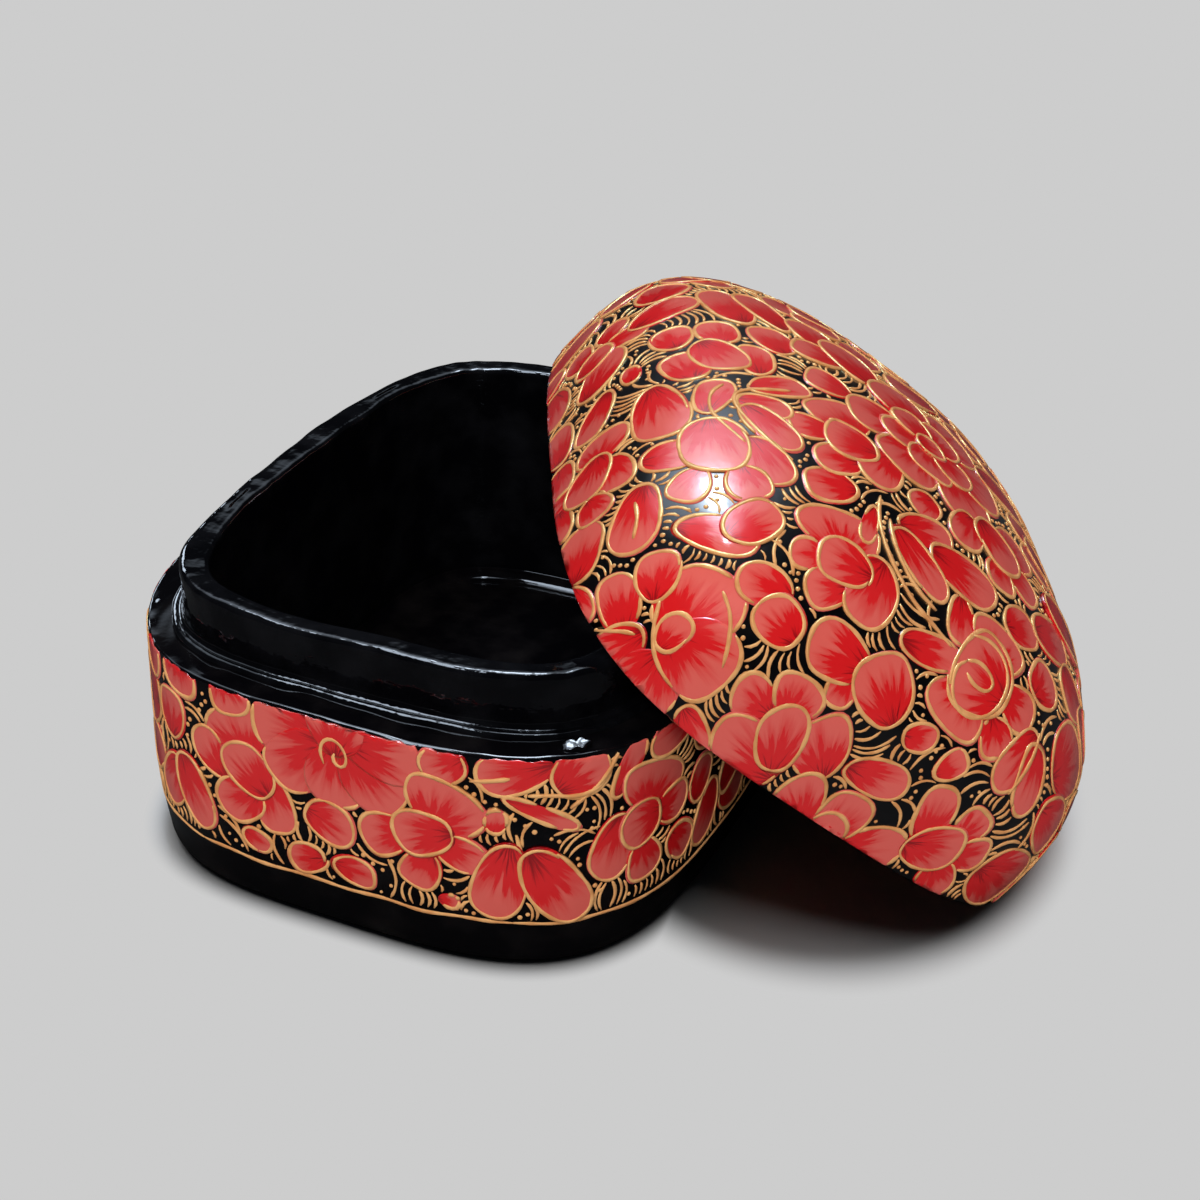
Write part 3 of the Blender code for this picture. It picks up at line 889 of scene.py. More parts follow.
def outlineStrokes(canvas, rows, squeezes, levels, inView):
    # Gold round each petal where no later petal lies over it, a little out of register.
    # Petals of one bloom share a single gold edge round all of them.
    look, steps = goldLook, fillLook["outline"]
    rng = np.random.default_rng(fillLook["seed"] + 1)
    angles = np.arange(steps) * fullTurn / steps
    within, outside = look["beside"]
    strokes = []
    for number, row in enumerate(rows):
        along, across = petalOutline(row, angles, number)
        scales = np.array([[1 - rng.uniform(*look["inwards"]) / row[2:4].mean()], [within],
                           [outside]])
        x, y = layDown(row[None], along * scales, across * scales, squeezes[number:number + 1])
        under, beyond = readCanvas(canvas, "owner", x[1:], y[1:])
        slipX, slipY = rng.uniform(-look["slip"], look["slip"], 2)
        x, y = x[0] + slipX, y[0] + slipY
        inBloom = (row[5] > 0) & (beyond >= 0) & (rows[beyond, 5] == row[5])
        shown = (under == number) & inView(x, y) & ~inBloom
        width = look["outline"] * rng.uniform(*look["widths"])
        if shown.all():
            order = (np.arange(steps + 3) + rng.integers(steps)) % steps
            drift = np.linspace(-0.5, 0.5, steps + 3) * rng.uniform(-look["drift"], look["drift"])
            strokes.append((np.stack([x[order] + drift, y[order]], -1), width, levels[number]))
            continue
        for start, length in visibleRuns(shown):
            if length > 4:
                order = (start + np.arange(length)) % steps
                strokes.append((np.stack([x[order], y[order]], -1), width, levels[number]))
    return strokes


def ridgePoints(canvas, look):
    # Middle line of the bare gaps: cells whose neighbour's nearest edge is a different one,
    # thinned out from one to its next free one.
    gap, jump = canvas["gap"], np.zeros(canvas["gap"].shape)
    for axis, pad in ((0, ((0, 1), (0, 0))), (1, ((0, 0), (0, 1)))):
        apart = np.hypot(np.diff(canvas["nearX"], axis=axis), np.diff(canvas["nearY"], axis=axis))
        jump = np.maximum(jump, np.pad(apart, pad))
    ridge = ((jump > look["ridge"]) & (gap > look["least"]) & (gap < look["most"])
             & (canvas["owner"] < 0))
    x, y = canvas["x"][ridge], canvas["y"][ridge]
    free = np.full(len(x), 1e3)
    chosen = []
    while (free >= look["gap"]).any():
        pick = np.where(free >= look["gap"], free, 2e3).argmin()
        chosen.append(pick)
        free = np.minimum(free, np.hypot(x - x[pick], y - y[pick]))
        free[pick] = 0
    return x[chosen], y[chosen]


def evenHeadings(x, y, towardX, towardY):
    # Doubled angles are averaged over near points, so that neighbours run side by side.
    apart = (x[:, None] - x) ** 2 + (y[:, None] - y) ** 2
    weight = np.exp(-apart / rungLook["comb"] ** 2)
    return np.angle(weight @ np.exp(2j * np.arctan2(towardY, towardX))) / 2


def dotShare(x, y):
    # A product of long sines and a slanting one: where it is high, channels get dots.
    level = np.sin(0.33 * x + 1.7) * np.sin(0.29 * y + 0.6)
    return level + 0.35 * np.sin(0.11 * x - 0.13 * y)


def gapStrokes(canvas, rowOfDots):
    # Rungs cross the gap square to its nearest petal edge, clear of each other; some
    # channels get dots instead, and so does a place too tight for one more rung.
    look, dotSize = rungLook, goldLook["dot"]
    rng = np.random.default_rng(fillLook["seed"] + 2)
    x, y = ridgePoints(canvas, look)
    given = np.array([dot for dot in rowOfDots
                      if readCanvas(canvas, "gap", *np.array(dot)) > look["bareDot"]])
    apart = np.hypot(x[:, None] - given[:, 0], y[:, None] - given[:, 1]).min(1)
    x, y = x[apart > look["fromDot"]], y[apart > look["fromDot"]]
    heading = evenHeadings(x, y, readCanvas(canvas, "nearX", x, y) - x,
                           readCanvas(canvas, "nearY", x, y) - y)
    towardX, towardY = np.cos(heading), np.sin(heading)

    def openReach(sign):
        # How far the gap stays open one way.
        steps = sign * np.arange(0, look["reach"], look["step"])
        gaps = readCanvas(canvas, "gap", x[:, None] + towardX[:, None] * steps,
                          y[:, None] + towardY[:, None] * steps)
        cells = np.cumprod(gaps > look["open"], 1).sum(1)
        return np.maximum(cells - 1, 0) * look["step"] + look["step"]

    ahead, behind = openReach(1), openReach(-1)
    dotted = dotShare(x, y)
    strokes, taken = [], np.full((0, 2), 1e3)
    dots = [(dotX, dotY, dotSize * rng.uniform(0.9, 1.15)) for dotX, dotY in given]
    t = np.linspace(0, 1, look["points"])
    for number in range(len(x)):
        length = ahead[number] + behind[number]
        if dotted[number] > look["dotted"] and length < look["dottedReach"]:
            dots.append((x[number], y[number], dotSize * rng.uniform(0.85, 1.15)))
            continue
        if length < look["shortest"]:
            continue
        away = ahead[number] - t * length
        bend = look["bow"] if dotted[number] > look["bowTurns"] else -look["bow"]
        bow = length * bend * (1 - (2 * t - 1) ** 2)
        points = np.stack([x[number] + towardX[number] * away - towardY[number] * bow,
                           y[number] + towardY[number] * away + towardX[number] * bow], -1)
        width = goldLook["rung"] * rng.uniform(*goldLook["rungWidths"])
        apart = np.hypot(*(points[:, None] - taken).T).T
        if len(taken) and apart.min() < look["clear"]:
            if apart[look["points"] // 2].min() > look["dotRoom"]:
                dots.append((x[number], y[number], dotSize * rng.uniform(0.7, 1.0)))
            continue
        taken = np.concatenate([taken, points])
        strokes.append((points, width, 0.0))
    return strokes, dots


def smoothPath(points, rounds=3):
    # Corner cutting: every edge keeps its quarter and three-quarter points.
    path = np.asarray(points, float)
    for _ in range(rounds):
        early = path[:-1] * 0.75 + path[1:] * 0.25
        late = path[:-1] * 0.25 + path[1:] * 0.75
        middle = np.stack([early, late], 1).reshape(-1, 2)
        path = np.concatenate([path[:1], middle, path[-1:]])
    return path


def strokeMesh(name, strokes, dots, surface, clampEdge, narrow=lambda x, y, nx, ny: 1.0):
    # A stroke is a four-sided bead: two feet, two crown lines, and blunt closed ends, pressed
    # unevenly along its way. A dot is three rings of eight.
    look = goldLook
    rng = np.random.default_rng(fillLook["seed"] + 3)
    sides, heights = np.array(look["section"]).T
    taper, blunt = look["taper"]
    (swell, swellWaves), (shake, shakeWaves) = look["press"]
    spots, quads, ends = [], [], []

    def addRings(x, y, lift, feet, tops):
        index = sum(map(len, spots)) + np.arange(x.size).reshape(x.shape)
        beside = np.roll(index, -1, axis=1)
        quads.append(np.stack([index[:-1], beside[:-1], beside[1:], index[1:]], -1))
        ends.append(np.concatenate([index[0][feet], index[-1][tops]]))
        spots.append(np.stack([x, y, lift], -1).reshape(-1, 3))

    for points, width, level in strokes:
        run = np.concatenate([[0], np.cumsum(np.hypot(*np.diff(points, axis=0).T))])
        count = int(np.clip(run[-1] / look["pointGap"], 3, 60)) + 1
        at = np.linspace(0, run[-1], count)
        x, y = np.interp(at, run, points[:, 0]), np.interp(at, run, points[:, 1])
        dx, dy = np.gradient(x), np.gradient(y)
        size = np.hypot(dx, dy) + 1e-9
        phase = rng.uniform(0, 6)
        uneven = (1 + swell * np.sin(at * swellWaves + phase)
                  + shake * np.sin(at * shakeWaves + 2 * phase))
        press = (1 - taper * np.linspace(-1, 1, count) ** blunt) * uneven
        half = (width / 2 * press * narrow(x, y, -dy / size, dx / size))[:, None]
        under = petalLook["rest"] * 0.4 + (petalLook["step"] * level
                                           + (petalLook["rest"] if level > 0 else 0))
        lift = under + look["over"] + look["thick"] * press[:, None] * heights
        addRings(x[:, None] - (dy / size)[:, None] * sides * half,
                 y[:, None] + (dx / size)[:, None] * sides * half,
                 np.where(heights > 0, lift, look["sunk"]), [[3, 2, 1, 0]], [[0, 1, 2, 3]])
    around = np.arange(8) * fullTurn / 8
    shares, lifts = np.array(look["dotRings"]).T[:, :, None]
    for x, y, radius in dots:
        addRings(x + radius * shares * np.cos(around), y + radius * shares * np.sin(around),
                 lifts + 0 * around, [[3, 2, 1, 0], [7, 6, 5, 4], [7, 4, 3, 0]],
                 [[0, 1, 2, 3], [4, 5, 6, 7], [0, 3, 4, 7]])
    x, y, lift = np.concatenate(spots).T
    faces = [np.concatenate([block.reshape(-1, 4) for block in quads]), np.concatenate(ends)]
    return makeMesh(name, surface(*clampEdge(x, y), lift), faces)


def drawnStrokes(paths):
    # Strokes drawn by hand over the petals.
    return [(smoothPath(path), goldLook["drawn"], goldLook["drawnLevel"]) for path in paths]


def softLimit(value, limit, softness=0.05):
    # Values press up against the limit without ever passing it.
    return limit - softness * np.logaddexp(0, (limit - value) / softness)


# ---- painting on the base's wall

wallBand = {
    "low": 7.15, "high": 28.58, "line": 6.55, "cutHigh": 30.6, "canvas": (5.0, 31.0),
    "overlap": 6, "shy": 0.1, "bulge": 0.12, "linePoints": 361, "lineParts": 7,
}


def wallBorders(x, y):
    # The band is bare between the foot line and a little above the shoulder's edge.
    low, high = y - wallBand["low"], wallBand["cutHigh"] - y
    gap = np.maximum(np.minimum(low, high), 0)
    return gap, x.copy(), np.where(low < high, wallBand["low"], wallBand["cutHigh"])


def clampWall(x, y):
    # The paint's upper border wanders a little along the shoulder's edge.
    border = handWave(x / perimeter * fullTurn, "paintEdge")
    return x, softLimit(y, wallBand["high"] + np.minimum(border, wallBand["bulge"]))


def paintWall(look):
    # The petals, their gold and the gaps' strokes on the unrolled wall, and the foot's line.
    half, top = perimeter / 2, look["high"]
    span, (low, high) = half + look["overlap"], look["canvas"]
    canvas = newCanvas((-span, low), (span, high), wallBorders)
    rows, squeezes, levels = fillCanvas(canvas, wallPetals, lambda x, y: 1.0,
                                        (-perimeter, 0.0, perimeter))
    petals = petalPatches("basePetals", rows, squeezes, levels, wallPoint, clampWall)
    strokes = outlineStrokes(canvas, rows, squeezes, levels,
                             lambda x, y: (y < top - look["shy"]) & (np.abs(x) < span))
    closeBorder(canvas, np.maximum(top - canvas["y"], 0), canvas["x"], top + 0 * canvas["x"])
    rungs, dots = gapStrokes(canvas, wallDots)
    rungs = [stroke for stroke in rungs if abs(stroke[0][:, 0].mean()) < half]
    dots = [dot for dot in dots if abs(dot[0]) < half]
    run = np.linspace(-half, half, look["linePoints"])
    line = np.stack([run, look["line"] + handWave(run / half * math.pi, "footLine")], -1)
    parts = np.array_split(np.arange(look["linePoints"]), look["lineParts"])
    footLine = [(line[part[0]:part[-1] + 2], goldLook["footLine"], 0.0) for part in parts]
    gold = strokeMesh("baseGold", strokes + rungs + drawnStrokes(wallStrokes), dots, wallPoint,
                      clampWall)
    print("wall painted: %d petals, %d rungs, %d dots" % (len(rows), len(rungs), len(dots)))
    return petals, gold, strokeMesh("footLine", footLine, [], wallPoint, clampWall)


basePetals, baseGold, footLine = paintWall(wallBand)

# ---- painting on the lid

lidBand = {"share": 0.9955, "cut": 2.5, "margin": 4, "shy": 0.002}


def lidReach(x, y):
    # The meridian's length below a chart point, down to the rim.
    return np.interp(np.arctan2(y, x), meridian["angle"], meridian["reach"])


def lidStretch(u, v):
    # True length round the dome for one millimetre round the chart.
    angle, rise, step = np.arctan2(v, u), chartRise(u, v), 0.01
    first, second = (domePoint(rise, angle + turn, 0.0, boxShape["lidHeight"])
                     for turn in (-step, step))
    return np.linalg.norm(second - first, axis=-1) / (2 * step * (np.hypot(u, v) + 1e-6))


def lidBorders(x, y):
    # The chart is bare as far as a little past the rim.
    distance = np.hypot(x, y)
    reach = lidReach(x, y) + lidBand["cut"]
    scale = reach / (distance + 1e-9)
    return np.maximum(reach - distance, 0), x * scale, y * scale


def clampLid(x, y):
    # The paint stops just short of the rim, whatever its heading.
    distance = np.hypot(x, y) + 1e-9
    scale = softLimit(distance, lidReach(x, y) * lidBand["share"]) / distance
    return x * scale, y * scale


def lidNarrow(x, y, nx, ny):
    # Keeps a stroke's true width: its width across the chart is divided by the stretch.
    distance = np.hypot(x, y) + 1e-9
    outwards = (nx * x + ny * y) / distance
    sideways = (ny * x - nx * y) / distance
    return 1 / np.sqrt(outwards ** 2 + (lidStretch(x, y) * sideways) ** 2)


def paintLid(look):
    # The petals, their gold and the gaps' strokes on the dome's chart.
    span = meridian["reach"].max() + look["margin"]
    canvas = newCanvas((-span, -span), (span, span), lidBorders)
    rows, squeezes, levels = fillCanvas(canvas, lidPetals, lidStretch, (0.0,))
    petals = petalPatches("lidPetals", rows, squeezes, levels, lidPoint, clampLid)
    strokes = outlineStrokes(canvas, rows, squeezes, levels,
                             lambda x, y: chartShare(x, y) < look["share"] - look["shy"])
    x, y = canvas["x"], canvas["y"]
    distance = np.hypot(x, y) + 1e-9
    reach = lidReach(x, y) * look["share"]
    closeBorder(canvas, np.maximum(reach - distance, 0), x * reach / distance,
                y * reach / distance)
    rungs, dots = gapStrokes(canvas, lidDots)
    outlines = strokeMesh("lidGold", strokes + drawnStrokes(lidStrokes), [], lidPoint, clampLid,
                          lidNarrow)
    hatching = strokeMesh("lidHatching", rungs, dots, lidPoint, clampLid, lidNarrow)
    print("lid painted: %d petals, %d rungs, %d dots" % (len(rows), len(rungs), len(dots)))
    return petals, outlines, hatching


lidPetalPaint, lidGold, lidHatching = paintLid(lidBand)

# ---- materials


def addNode(tree, kind, inputs=None, **choices):
    # A new node. Each input, by name or number, gets a value or the socket that feeds it.
    node = tree.nodes.new(kind if kind.startswith("NodeGroup") else "ShaderNode" + kind)
    node.location = (200 * len(tree.nodes), 0)
    for name, value in choices.items():
        setattr(node, name, value)
    for socket, value in (inputs or {}).items():
        if isinstance(value, bpy.types.NodeSocket):
            tree.links.new(value, node.inputs[socket])
        else:
            node.inputs[socket].default_value = value
    return node


def calculate(tree, operation, *terms):
    # One step of arithmetic.
    return addNode(tree, "Math", dict(enumerate(terms)), operation=operation).outputs[0]


def noiseAt(tree, place, scale, detail, roughness=0.5):
    # Soft noise, about 0.5 on average.
    return addNode(tree, "TexNoise", {"Vector": place, "Scale": scale, "Detail": detail,
                                      "Roughness": roughness}).outputs[0]


def stepBetween(tree, source, low, high, kind="SMOOTHSTEP", top=1.0):
    # From 0 where the source is low to the top where it is high.
    return addNode(tree, "MapRange", {"Value": source, "From Min": low, "From Max": high,
                                      "To Max": top}, interpolation_type=kind).outputs[0]


def blendColors(tree, factor, first, second):
    # The first colour at a factor of 0, the second at 1.
    return addNode(tree, "Mix", {0: factor, 6: first, 7: second}, data_type="RGBA").outputs[2]


def evenGrey(level):
    return (level, level, level, 1)


handFinishLook = {
    "waveDetail": 2.0, "waveRoughness": 0.45, "grainScale": 1400.0, "grainDetail": 1.0,
    "grain": 0.12, "smearScale": 260.0, "smearDetail": 3.0, "depth": 0.0004,
}


def makeHandFinish(look):
    # Group: brushed lacquer's small waves as a height, and its smears as a roughness.
    group = bpy.data.node_groups.new("handFinish", "ShaderNodeTree")
    for way, names in (("INPUT", ("Wave Size", "Roughness", "Smears")),
                       ("OUTPUT", ("Height", "Roughness"))):
        for name in names:
            group.interface.new_socket(name, in_out=way, socket_type="NodeSocketFloat")
    entry = addNode(group, "NodeGroupInput").outputs
    place = addNode(group, "TexCoord").outputs["Object"]
    waves = noiseAt(group, place, entry["Wave Size"], look["waveDetail"], look["waveRoughness"])
    grain = noiseAt(group, place, look["grainScale"], look["grainDetail"])
    smears = noiseAt(group, place, look["smearScale"], look["smearDetail"])
    addNode(group, "NodeGroupOutput", {
        "Height": calculate(group, "MULTIPLY_ADD", grain, look["grain"], waves),
        "Roughness": calculate(group, "MULTIPLY_ADD", smears, entry["Smears"],
                               entry["Roughness"]),
    })
    return group


handFinish = makeHandFinish(handFinishLook)


def startMaterial(name, look):
    # A Principled shader with the hand finish wired in; returns material, tree and shader.
    material = bpy.data.materials.new(name)
    material.use_nodes = True
    tree = material.node_tree
    shader = tree.nodes["Principled BSDF"]
    for socket, value in look["shader"].items():
        shader.inputs[socket].default_value = value
    hand = addNode(tree, "Group", node_tree=handFinish)
    for socket, value in look["finish"].items():
        hand.inputs[socket].default_value = value
    bump = addNode(tree, "Bump", {"Strength": look["bump"], "Distance": handFinishLook["depth"],
                                  "Height": hand.outputs["Height"]})
    tree.links.new(bump.outputs["Normal"], shader.inputs["Normal"])
    tree.links.new(bump.outputs["Normal"], shader.inputs["Coat Normal"])
    tree.links.new(hand.outputs["Roughness"], shader.inputs["Roughness"])
    return material, tree, shader


baseLacquerLook = {
    "finish": {"Wave Size": 120.0, "Roughness": 0.30, "Smears": 0.14}, "bump": 0.20,
    "shader": {"Specular IOR Level": 0.0, "Coat Weight": 1.0, "Coat Roughness": 0.06,
               "Coat IOR": 1.50},
    "black": (0.0012, 0.0010, 0.0014, 1), "worn": (0.006, 0.005, 0.005, 1),
    "patches": (170.0, 6.0, 0.45, 0.78), "streaks": 0.0,
}
linerLacquerLook = {
    **baseLacquerLook, "finish": {"Wave Size": 420.0, "Roughness": 0.30, "Smears": 0.14},
    "bump": 0.30, "black": (0.0010, 0.0010, 0.0014, 1), "worn": (0.005, 0.005, 0.006, 1),
    "streaks": 0.20, "streakScale": 110.0, "streakDepth": 0.0003, "streakSquash": (1.0, 1.0, 5.0),
}
softerCoat = {"Specular IOR Level": 0.60, "Coat Weight": 1.0, "Coat Roughness": 0.09,
              "Coat IOR": 1.60}
lidLacquerLook = {
    **baseLacquerLook, "finish": {"Wave Size": 120.0, "Roughness": 0.27, "Smears": 0.10},
    "shader": softerCoat,
}
# Brush marks of a petal: how often along and across it, detail, depth and middle.
petalPaintLook = {
    "finish": {"Wave Size": 260.0, "Roughness": 0.27, "Smears": 0.10}, "bump": 0.18,
    "shader": softerCoat,
    "pink": (0.66, 0.051, 0.042, 1), "paler": (0.70, 0.108, 0.084, 1),
    "red": (0.65, 0.009, 0.011, 1), "deep": (0.26, 0.003, 0.005, 1),
    "spikes": (0.9, 1.5, 3.0, -0.95, 0.44), "hairs": (1.6, 4.5, 2.0, -0.42, 0.21),
    "patches": (0.8, 0.35, 1.0, -0.30, 0.15),
    "pinkFrom": (0.505, 0.550), "paleFrom": (0.50, 0.80), "deepFrom": (0.24, 0.0),
}
goldPaintLook = {
    "finish": {"Wave Size": 500.0, "Roughness": 0.28, "Smears": 0.16}, "bump": 0.32,
    "shader": {"Metallic": 0.05, "IOR": 1.80, "Specular IOR Level": 1.0,
               "Specular Tint": (0.35, 1.0, 0.40, 1), "Coat Weight": 0.3,
               "Coat Roughness": 0.24, "Coat IOR": 1.50},
    "bright": (0.96, 0.472, 0.185, 1), "thin": (0.79, 0.315, 0.108, 1),
    "patches": (420.0, 4.0, 0.36, 0.60),
}
# The lid's gold is a darker, browner copy of the same gold: painted shade that offsets the
# stronger light falling on the lid from above.
lidShadedGoldLook = {
    **goldPaintLook, "bright": (0.87, 0.410, 0.158, 1), "thin": (0.70, 0.268, 0.090, 1),
}


def patchColours(tree, shader, patches, first, second):
    # The colour goes from the first to the second as a noise climbs; returns its place.
    scale, detail, low, high = patches
    place = addNode(tree, "TexCoord").outputs["Object"]
    share = stepBetween(tree, noiseAt(tree, place, scale, detail), low, high, "LINEAR")
    tree.links.new(blendColors(tree, share, first, second), shader.inputs["Base Color"])
    return place


def makeLacquer(name, look):
    # Black, a little worn in patches. Streaks are level brush marks under the hand finish:
    # noise drawn out round the band.
    material, tree, shader = startMaterial(name, look)
    place = patchColours(tree, shader, look["patches"], look["black"], look["worn"])
    if look["streaks"]:
        drawn = addNode(tree, "VectorMath", {0: place, 1: look["streakSquash"]},
                        operation="MULTIPLY").outputs[0]
        marks = noiseAt(tree, drawn, look["streakScale"], 3.0)
        relief = addNode(tree, "Bump", {"Strength": look["streaks"],
                                        "Distance": look["streakDepth"], "Height": marks})
        bump = shader.inputs["Normal"].links[0].from_node
        tree.links.new(relief.outputs["Normal"], bump.inputs["Normal"])
    return material


def makePetalPaint(name, look):
    # The brush attribute holds the reach from the petal's base, the swing across it, and its
    # own number. Dark red at the base breaks into pink along spikes and finer hairs.
    material, tree, shader = startMaterial(name, look)
    brush = addNode(tree, "Attribute", attribute_name="brush").outputs["Vector"]
    reach = addNode(tree, "SeparateXYZ", {0: brush}).outputs[0]

    def brushMarks(start, along, across, detail, depth, middle):
        drawn = addNode(tree, "VectorMath", {0: brush, 1: (along, across, 1.0)},
                        operation="MULTIPLY").outputs[0]
        marks = calculate(tree, "MULTIPLY_ADD", noiseAt(tree, drawn, 1.0, detail), depth, middle)
        return calculate(tree, "ADD", start, marks)

    spiky = brushMarks(reach, *look["spikes"])
    hairy = brushMarks(spiky, *look["hairs"])
    patchy = brushMarks(spiky, *look["patches"])
    pinks = blendColors(tree, stepBetween(tree, patchy, *look["paleFrom"]),
                        look["pink"], look["paler"])
    reds = blendColors(tree, stepBetween(tree, hairy, *look["deepFrom"]),
                       look["red"], look["deep"])
    colour = blendColors(tree, stepBetween(tree, hairy, *look["pinkFrom"]), reds, pinks)
    tree.links.new(colour, shader.inputs["Base Color"])
    return material


def makeGoldPaint(name, look):
    # Gold that is brighter in patches, where the brush left more of it.
    material, tree, shader = startMaterial(name, look)
    patchColours(tree, shader, look["patches"], look["thin"], look["bright"])
    return material


baseLacquer = makeLacquer("baseLacquer", baseLacquerLook)
linerLacquer = makeLacquer("linerLacquer", linerLacquerLook)
lidLacquer = makeLacquer("lidLacquer", lidLacquerLook)
petalPaint = makePetalPaint("petalPaint", petalPaintLook)
goldPaint = makeGoldPaint("goldPaint", goldPaintLook)
# The lid's gold material is the darker copy, painted shade against the lid's brighter top light.
lidShadedGoldPaint = makeGoldPaint("lidShadedGoldPaint", lidShadedGoldLook)
print("materials made")

dressing = [
    (baseShell, baseLacquer, "base", "painted_base"),
    (varnishDrop, baseLacquer, "base", "painted_base"),
    (innerLiner, linerLacquer, "base", "black_lacquer"),
    (basePetals, petalPaint, "base", "painted_base"),
    (baseGold, goldPaint, "base", "painted_base"),
    (footLine, goldPaint, "base", "painted_base"),
    (lidShell, lidLacquer, "lid", "painted_lid"),
    (lidPetalPaint, petalPaint, "lid", "painted_lid"),
    (lidGold, lidShadedGoldPaint, "lid", "painted_lid"),
    (lidHatching, lidShadedGoldPaint, "lid", "painted_lid"),
]
for piece, material, body, slot in dressing:
    piece.data.materials.append(material)
    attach(piece, body)
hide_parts("base_shell")
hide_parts("inner_liner")
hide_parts("lid_shell")

# ---- floor and lights

stageLook = {
    "floorGrey": 0.58, "seenGrey": 0.610, "mirrorGrey": 0.05, "ambient": 0.01, "floorSize": 9.0,
    "floorRoughness": 0.9, "floorDrop": 0.1,
}
# Where the floor's shade ends: half sizes of an outline, its power, and the fade's share of it.
shades = [
    {"centre": (0.0, 0.0), "turn": 0.0, "half": (36.0, 45.0), "power": 3.55,
     "fade": (0.955, 1.035)},
    {"centre": (37.0, 15.1), "turn": 22.2, "half": (36.0, 49.0), "power": 2.0,
     "fade": (0.84, 1.02)},
]
coolLight = (0.84, 0.98, 1.16)
plainLight = (1.0, 1.0, 1.0)
softboxDistance = 8.0
# Azimuth, elevation, share, width, height, colour, whether the lacquer mirrors it, and what
# it lights. The share is its light on a surface that faces it, next to 1 for the studio.
softboxes = {
    "windowKey": (-150, 67.8, 0.34, 1.6, 2.5, coolLight, True, "all"),
    "smallLamp": (30, 86, 0.03, 0.4, 0.4, coolLight, True, "all"),
    "frontFill": (14, 42, 0.93, 5.0, 4.0, plainLight, False, "box"),
    "leftFill": (-82, 42, 0.22, 4.0, 4.0, plainLight, False, "box"),
    "rightFill": (105, 40, 0.10, 4.0, 4.0, plainLight, False, "box"),
    "backFill": (190, 20, 0.40, 4.0, 3.0, plainLight, False, "box"),
    "edgeStrip": (-75, 68, 0.35, 4.5, 1.6, coolLight, True, "black"),
    "sideStrip": (-127, 20, 0.15, 2.5, 2.0, coolLight, True, "black"),
    "backWall": (-140, 55, 0.30, 6.0, 5.0, plainLight, False, "floor"),
    "ceiling": (0, 86, 0.52, 7.0, 7.0, plainLight, False, "floor"),
}
# Soft glows of the room round the box: azimuth, elevation, half width and brightness.
roomGlows = [(-160, 56, 29, 1.1), (-120, 57, 27, 1.6), (-150, 67.8, 16, 6.5), (-150, 84, 13, 4.5)]


def shadeEnd(tree, place, shade):
    # 0 under the outline's near share, 1 past its far one, by a superellipse's radius.
    power = shade["power"]
    parts = addNode(tree, "SeparateXYZ", {0: addNode(tree, "Mapping", {
        "Vector": place, "Location": (*(Vector(shade["centre"]) * mm), 0.0),
        "Rotation": (0.0, 0.0, math.radians(shade["turn"])),
        "Scale": (*(Vector(shade["half"]) * mm), 1.0),
    }, vector_type="TEXTURE").outputs[0]}).outputs
    terms = [calculate(tree, "POWER", calculate(tree, "ABSOLUTE", parts[axis]), power)
             for axis in (0, 1)]
    radius = calculate(tree, "POWER", calculate(tree, "ADD", *terms), 1 / power)
    return stepBetween(tree, radius, *shade["fade"])


def makeFloor(look):
    # Near the object the floor is lit and shaded. Further out the camera sees it fade to
    # the backdrop's even grey, and the lacquer mirrors it darker than it is.
    half, signs = look["floorSize"] / 2 / mm, ((-1, -1), (1, -1), (1, 1), (-1, 1))
    corners = np.array([(x * half, y * half, -look["floorDrop"]) for x, y in signs])
    floor = makeMesh("studioFloor", corners, [np.array([[0, 1, 2, 3]])])
    material = bpy.data.materials.new("studioFloor")
    material.use_nodes = True
    tree = material.node_tree
    shader = tree.nodes["Principled BSDF"]
    shader.inputs["Roughness"].default_value = look["floorRoughness"]
    shader.inputs["Specular IOR Level"].default_value = 0.0
    path = addNode(tree, "LightPath").outputs
    place = addNode(tree, "TexCoord").outputs["Object"]
    tree.links.new(blendColors(tree, path["Is Glossy Ray"], evenGrey(look["floorGrey"]),
                               evenGrey(look["mirrorGrey"])), shader.inputs["Base Color"])
    blank = calculate(tree, "MINIMUM", *(shadeEnd(tree, place, shade) for shade in shades))
    seen = calculate(tree, "MULTIPLY", blank, path["Is Camera Ray"])
    plain = addNode(tree, "Emission", {0: evenGrey(look["seenGrey"])}).outputs[0]
    mix = addNode(tree, "MixShader", {0: seen, 1: shader.outputs[0], 2: plain})
    tree.links.new(mix.outputs[0], tree.nodes["Material Output"].inputs[0])
    floor.data.materials.append(material)
    return floor


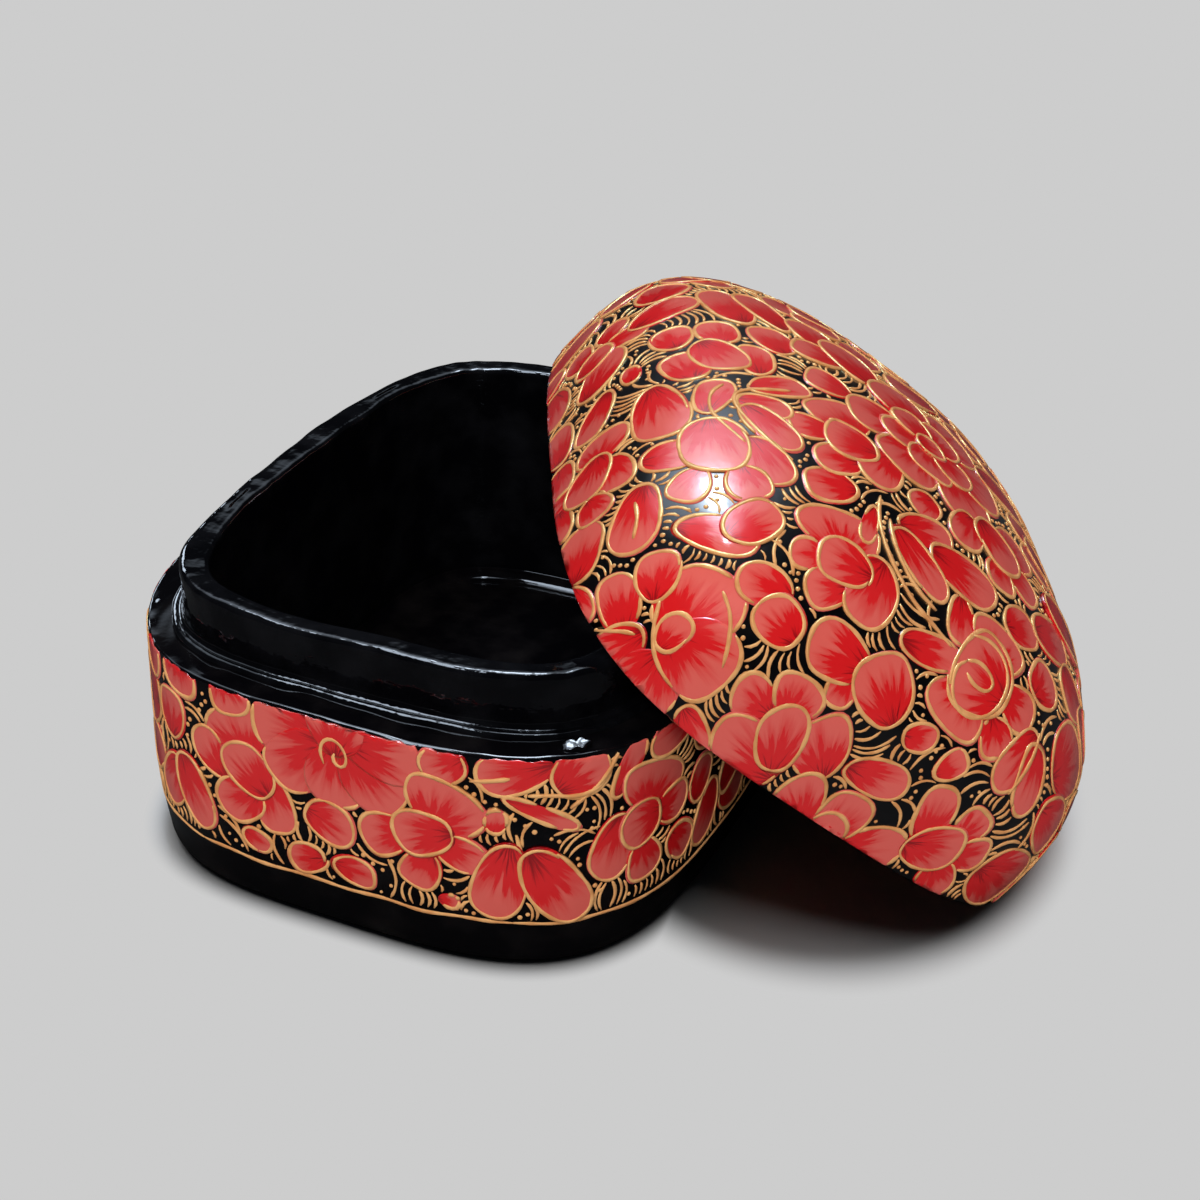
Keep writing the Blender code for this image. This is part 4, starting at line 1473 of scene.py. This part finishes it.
def makeWorld(look):
    # The camera sees the backdrop's grey. The lacquer mirrors the room's glows, each a smooth
    # step of the cosine between its direction and the ray's, over a low ambient light.
    world = bpy.data.worlds.new("studioWorld")
    bpy.context.scene.world = world
    world.use_nodes = True
    tree = world.node_tree
    ray = addNode(tree, "TexCoord").outputs["Generated"]
    total = 0.0
    for azimuth, elevation, reach, bright in roomGlows:
        cosine = addNode(tree, "VectorMath", {0: ray, 1: awayFrom(azimuth, elevation)},
                         operation="DOT_PRODUCT").outputs["Value"]
        glow = stepBetween(tree, cosine, math.cos(math.radians(reach)), 1.0, top=bright)
        total = calculate(tree, "ADD", glow, total)
    path = addNode(tree, "LightPath").outputs
    background = tree.nodes["Background"]
    background.inputs["Color"].default_value = (*coolLight, 1)
    tree.links.new(calculate(tree, "MULTIPLY_ADD", total, path["Is Glossy Ray"],
                             look["ambient"]), background.inputs["Strength"])
    seen = addNode(tree, "Background", {"Color": evenGrey(look["seenGrey"])}).outputs[0]
    mix = addNode(tree, "MixShader", {0: path["Is Camera Ray"], 1: background.outputs[0], 2: seen})
    tree.links.new(mix.outputs[0], tree.nodes["World Output"].inputs[0])


def makeSoftbox(name, azimuth, elevation, share, wide, tall, tint, mirrored, lights):
    # Far away, so that the floor is lit evenly. It may light some pieces only, but
    # everything still casts its shadow.
    light = bpy.data.lights.new(name, "AREA")
    light.shape = "RECTANGLE"
    light.size, light.size_y = wide, tall
    light.energy = share * (math.pi * softboxDistance) ** 2
    light.color = tint
    lamp = bpy.data.objects.new(name, light)
    bpy.context.scene.collection.objects.link(lamp)
    away = awayFrom(azimuth, elevation)
    lamp.visible_camera = False
    lamp.visible_glossy = mirrored
    lamp.location = away * softboxDistance
    lamp.rotation_euler = away.to_track_quat("Z", "Y").to_euler()
    if lights in litPieces:
        group = bpy.data.collections.new(name + "Reach")
        for piece in litPieces[lights]:
            group.objects.link(piece)
        lamp.light_linking.receiver_collection = group


litPieces = {
    "box": [row[0] for row in dressing], "black": [baseShell, innerLiner],
    "floor": [makeFloor(stageLook)],
}
makeWorld(stageLook)
for softboxName, softboxRow in softboxes.items():
    makeSoftbox(softboxName, *softboxRow)
bpy.context.scene.view_settings.view_transform = "Standard"
print("stage set")
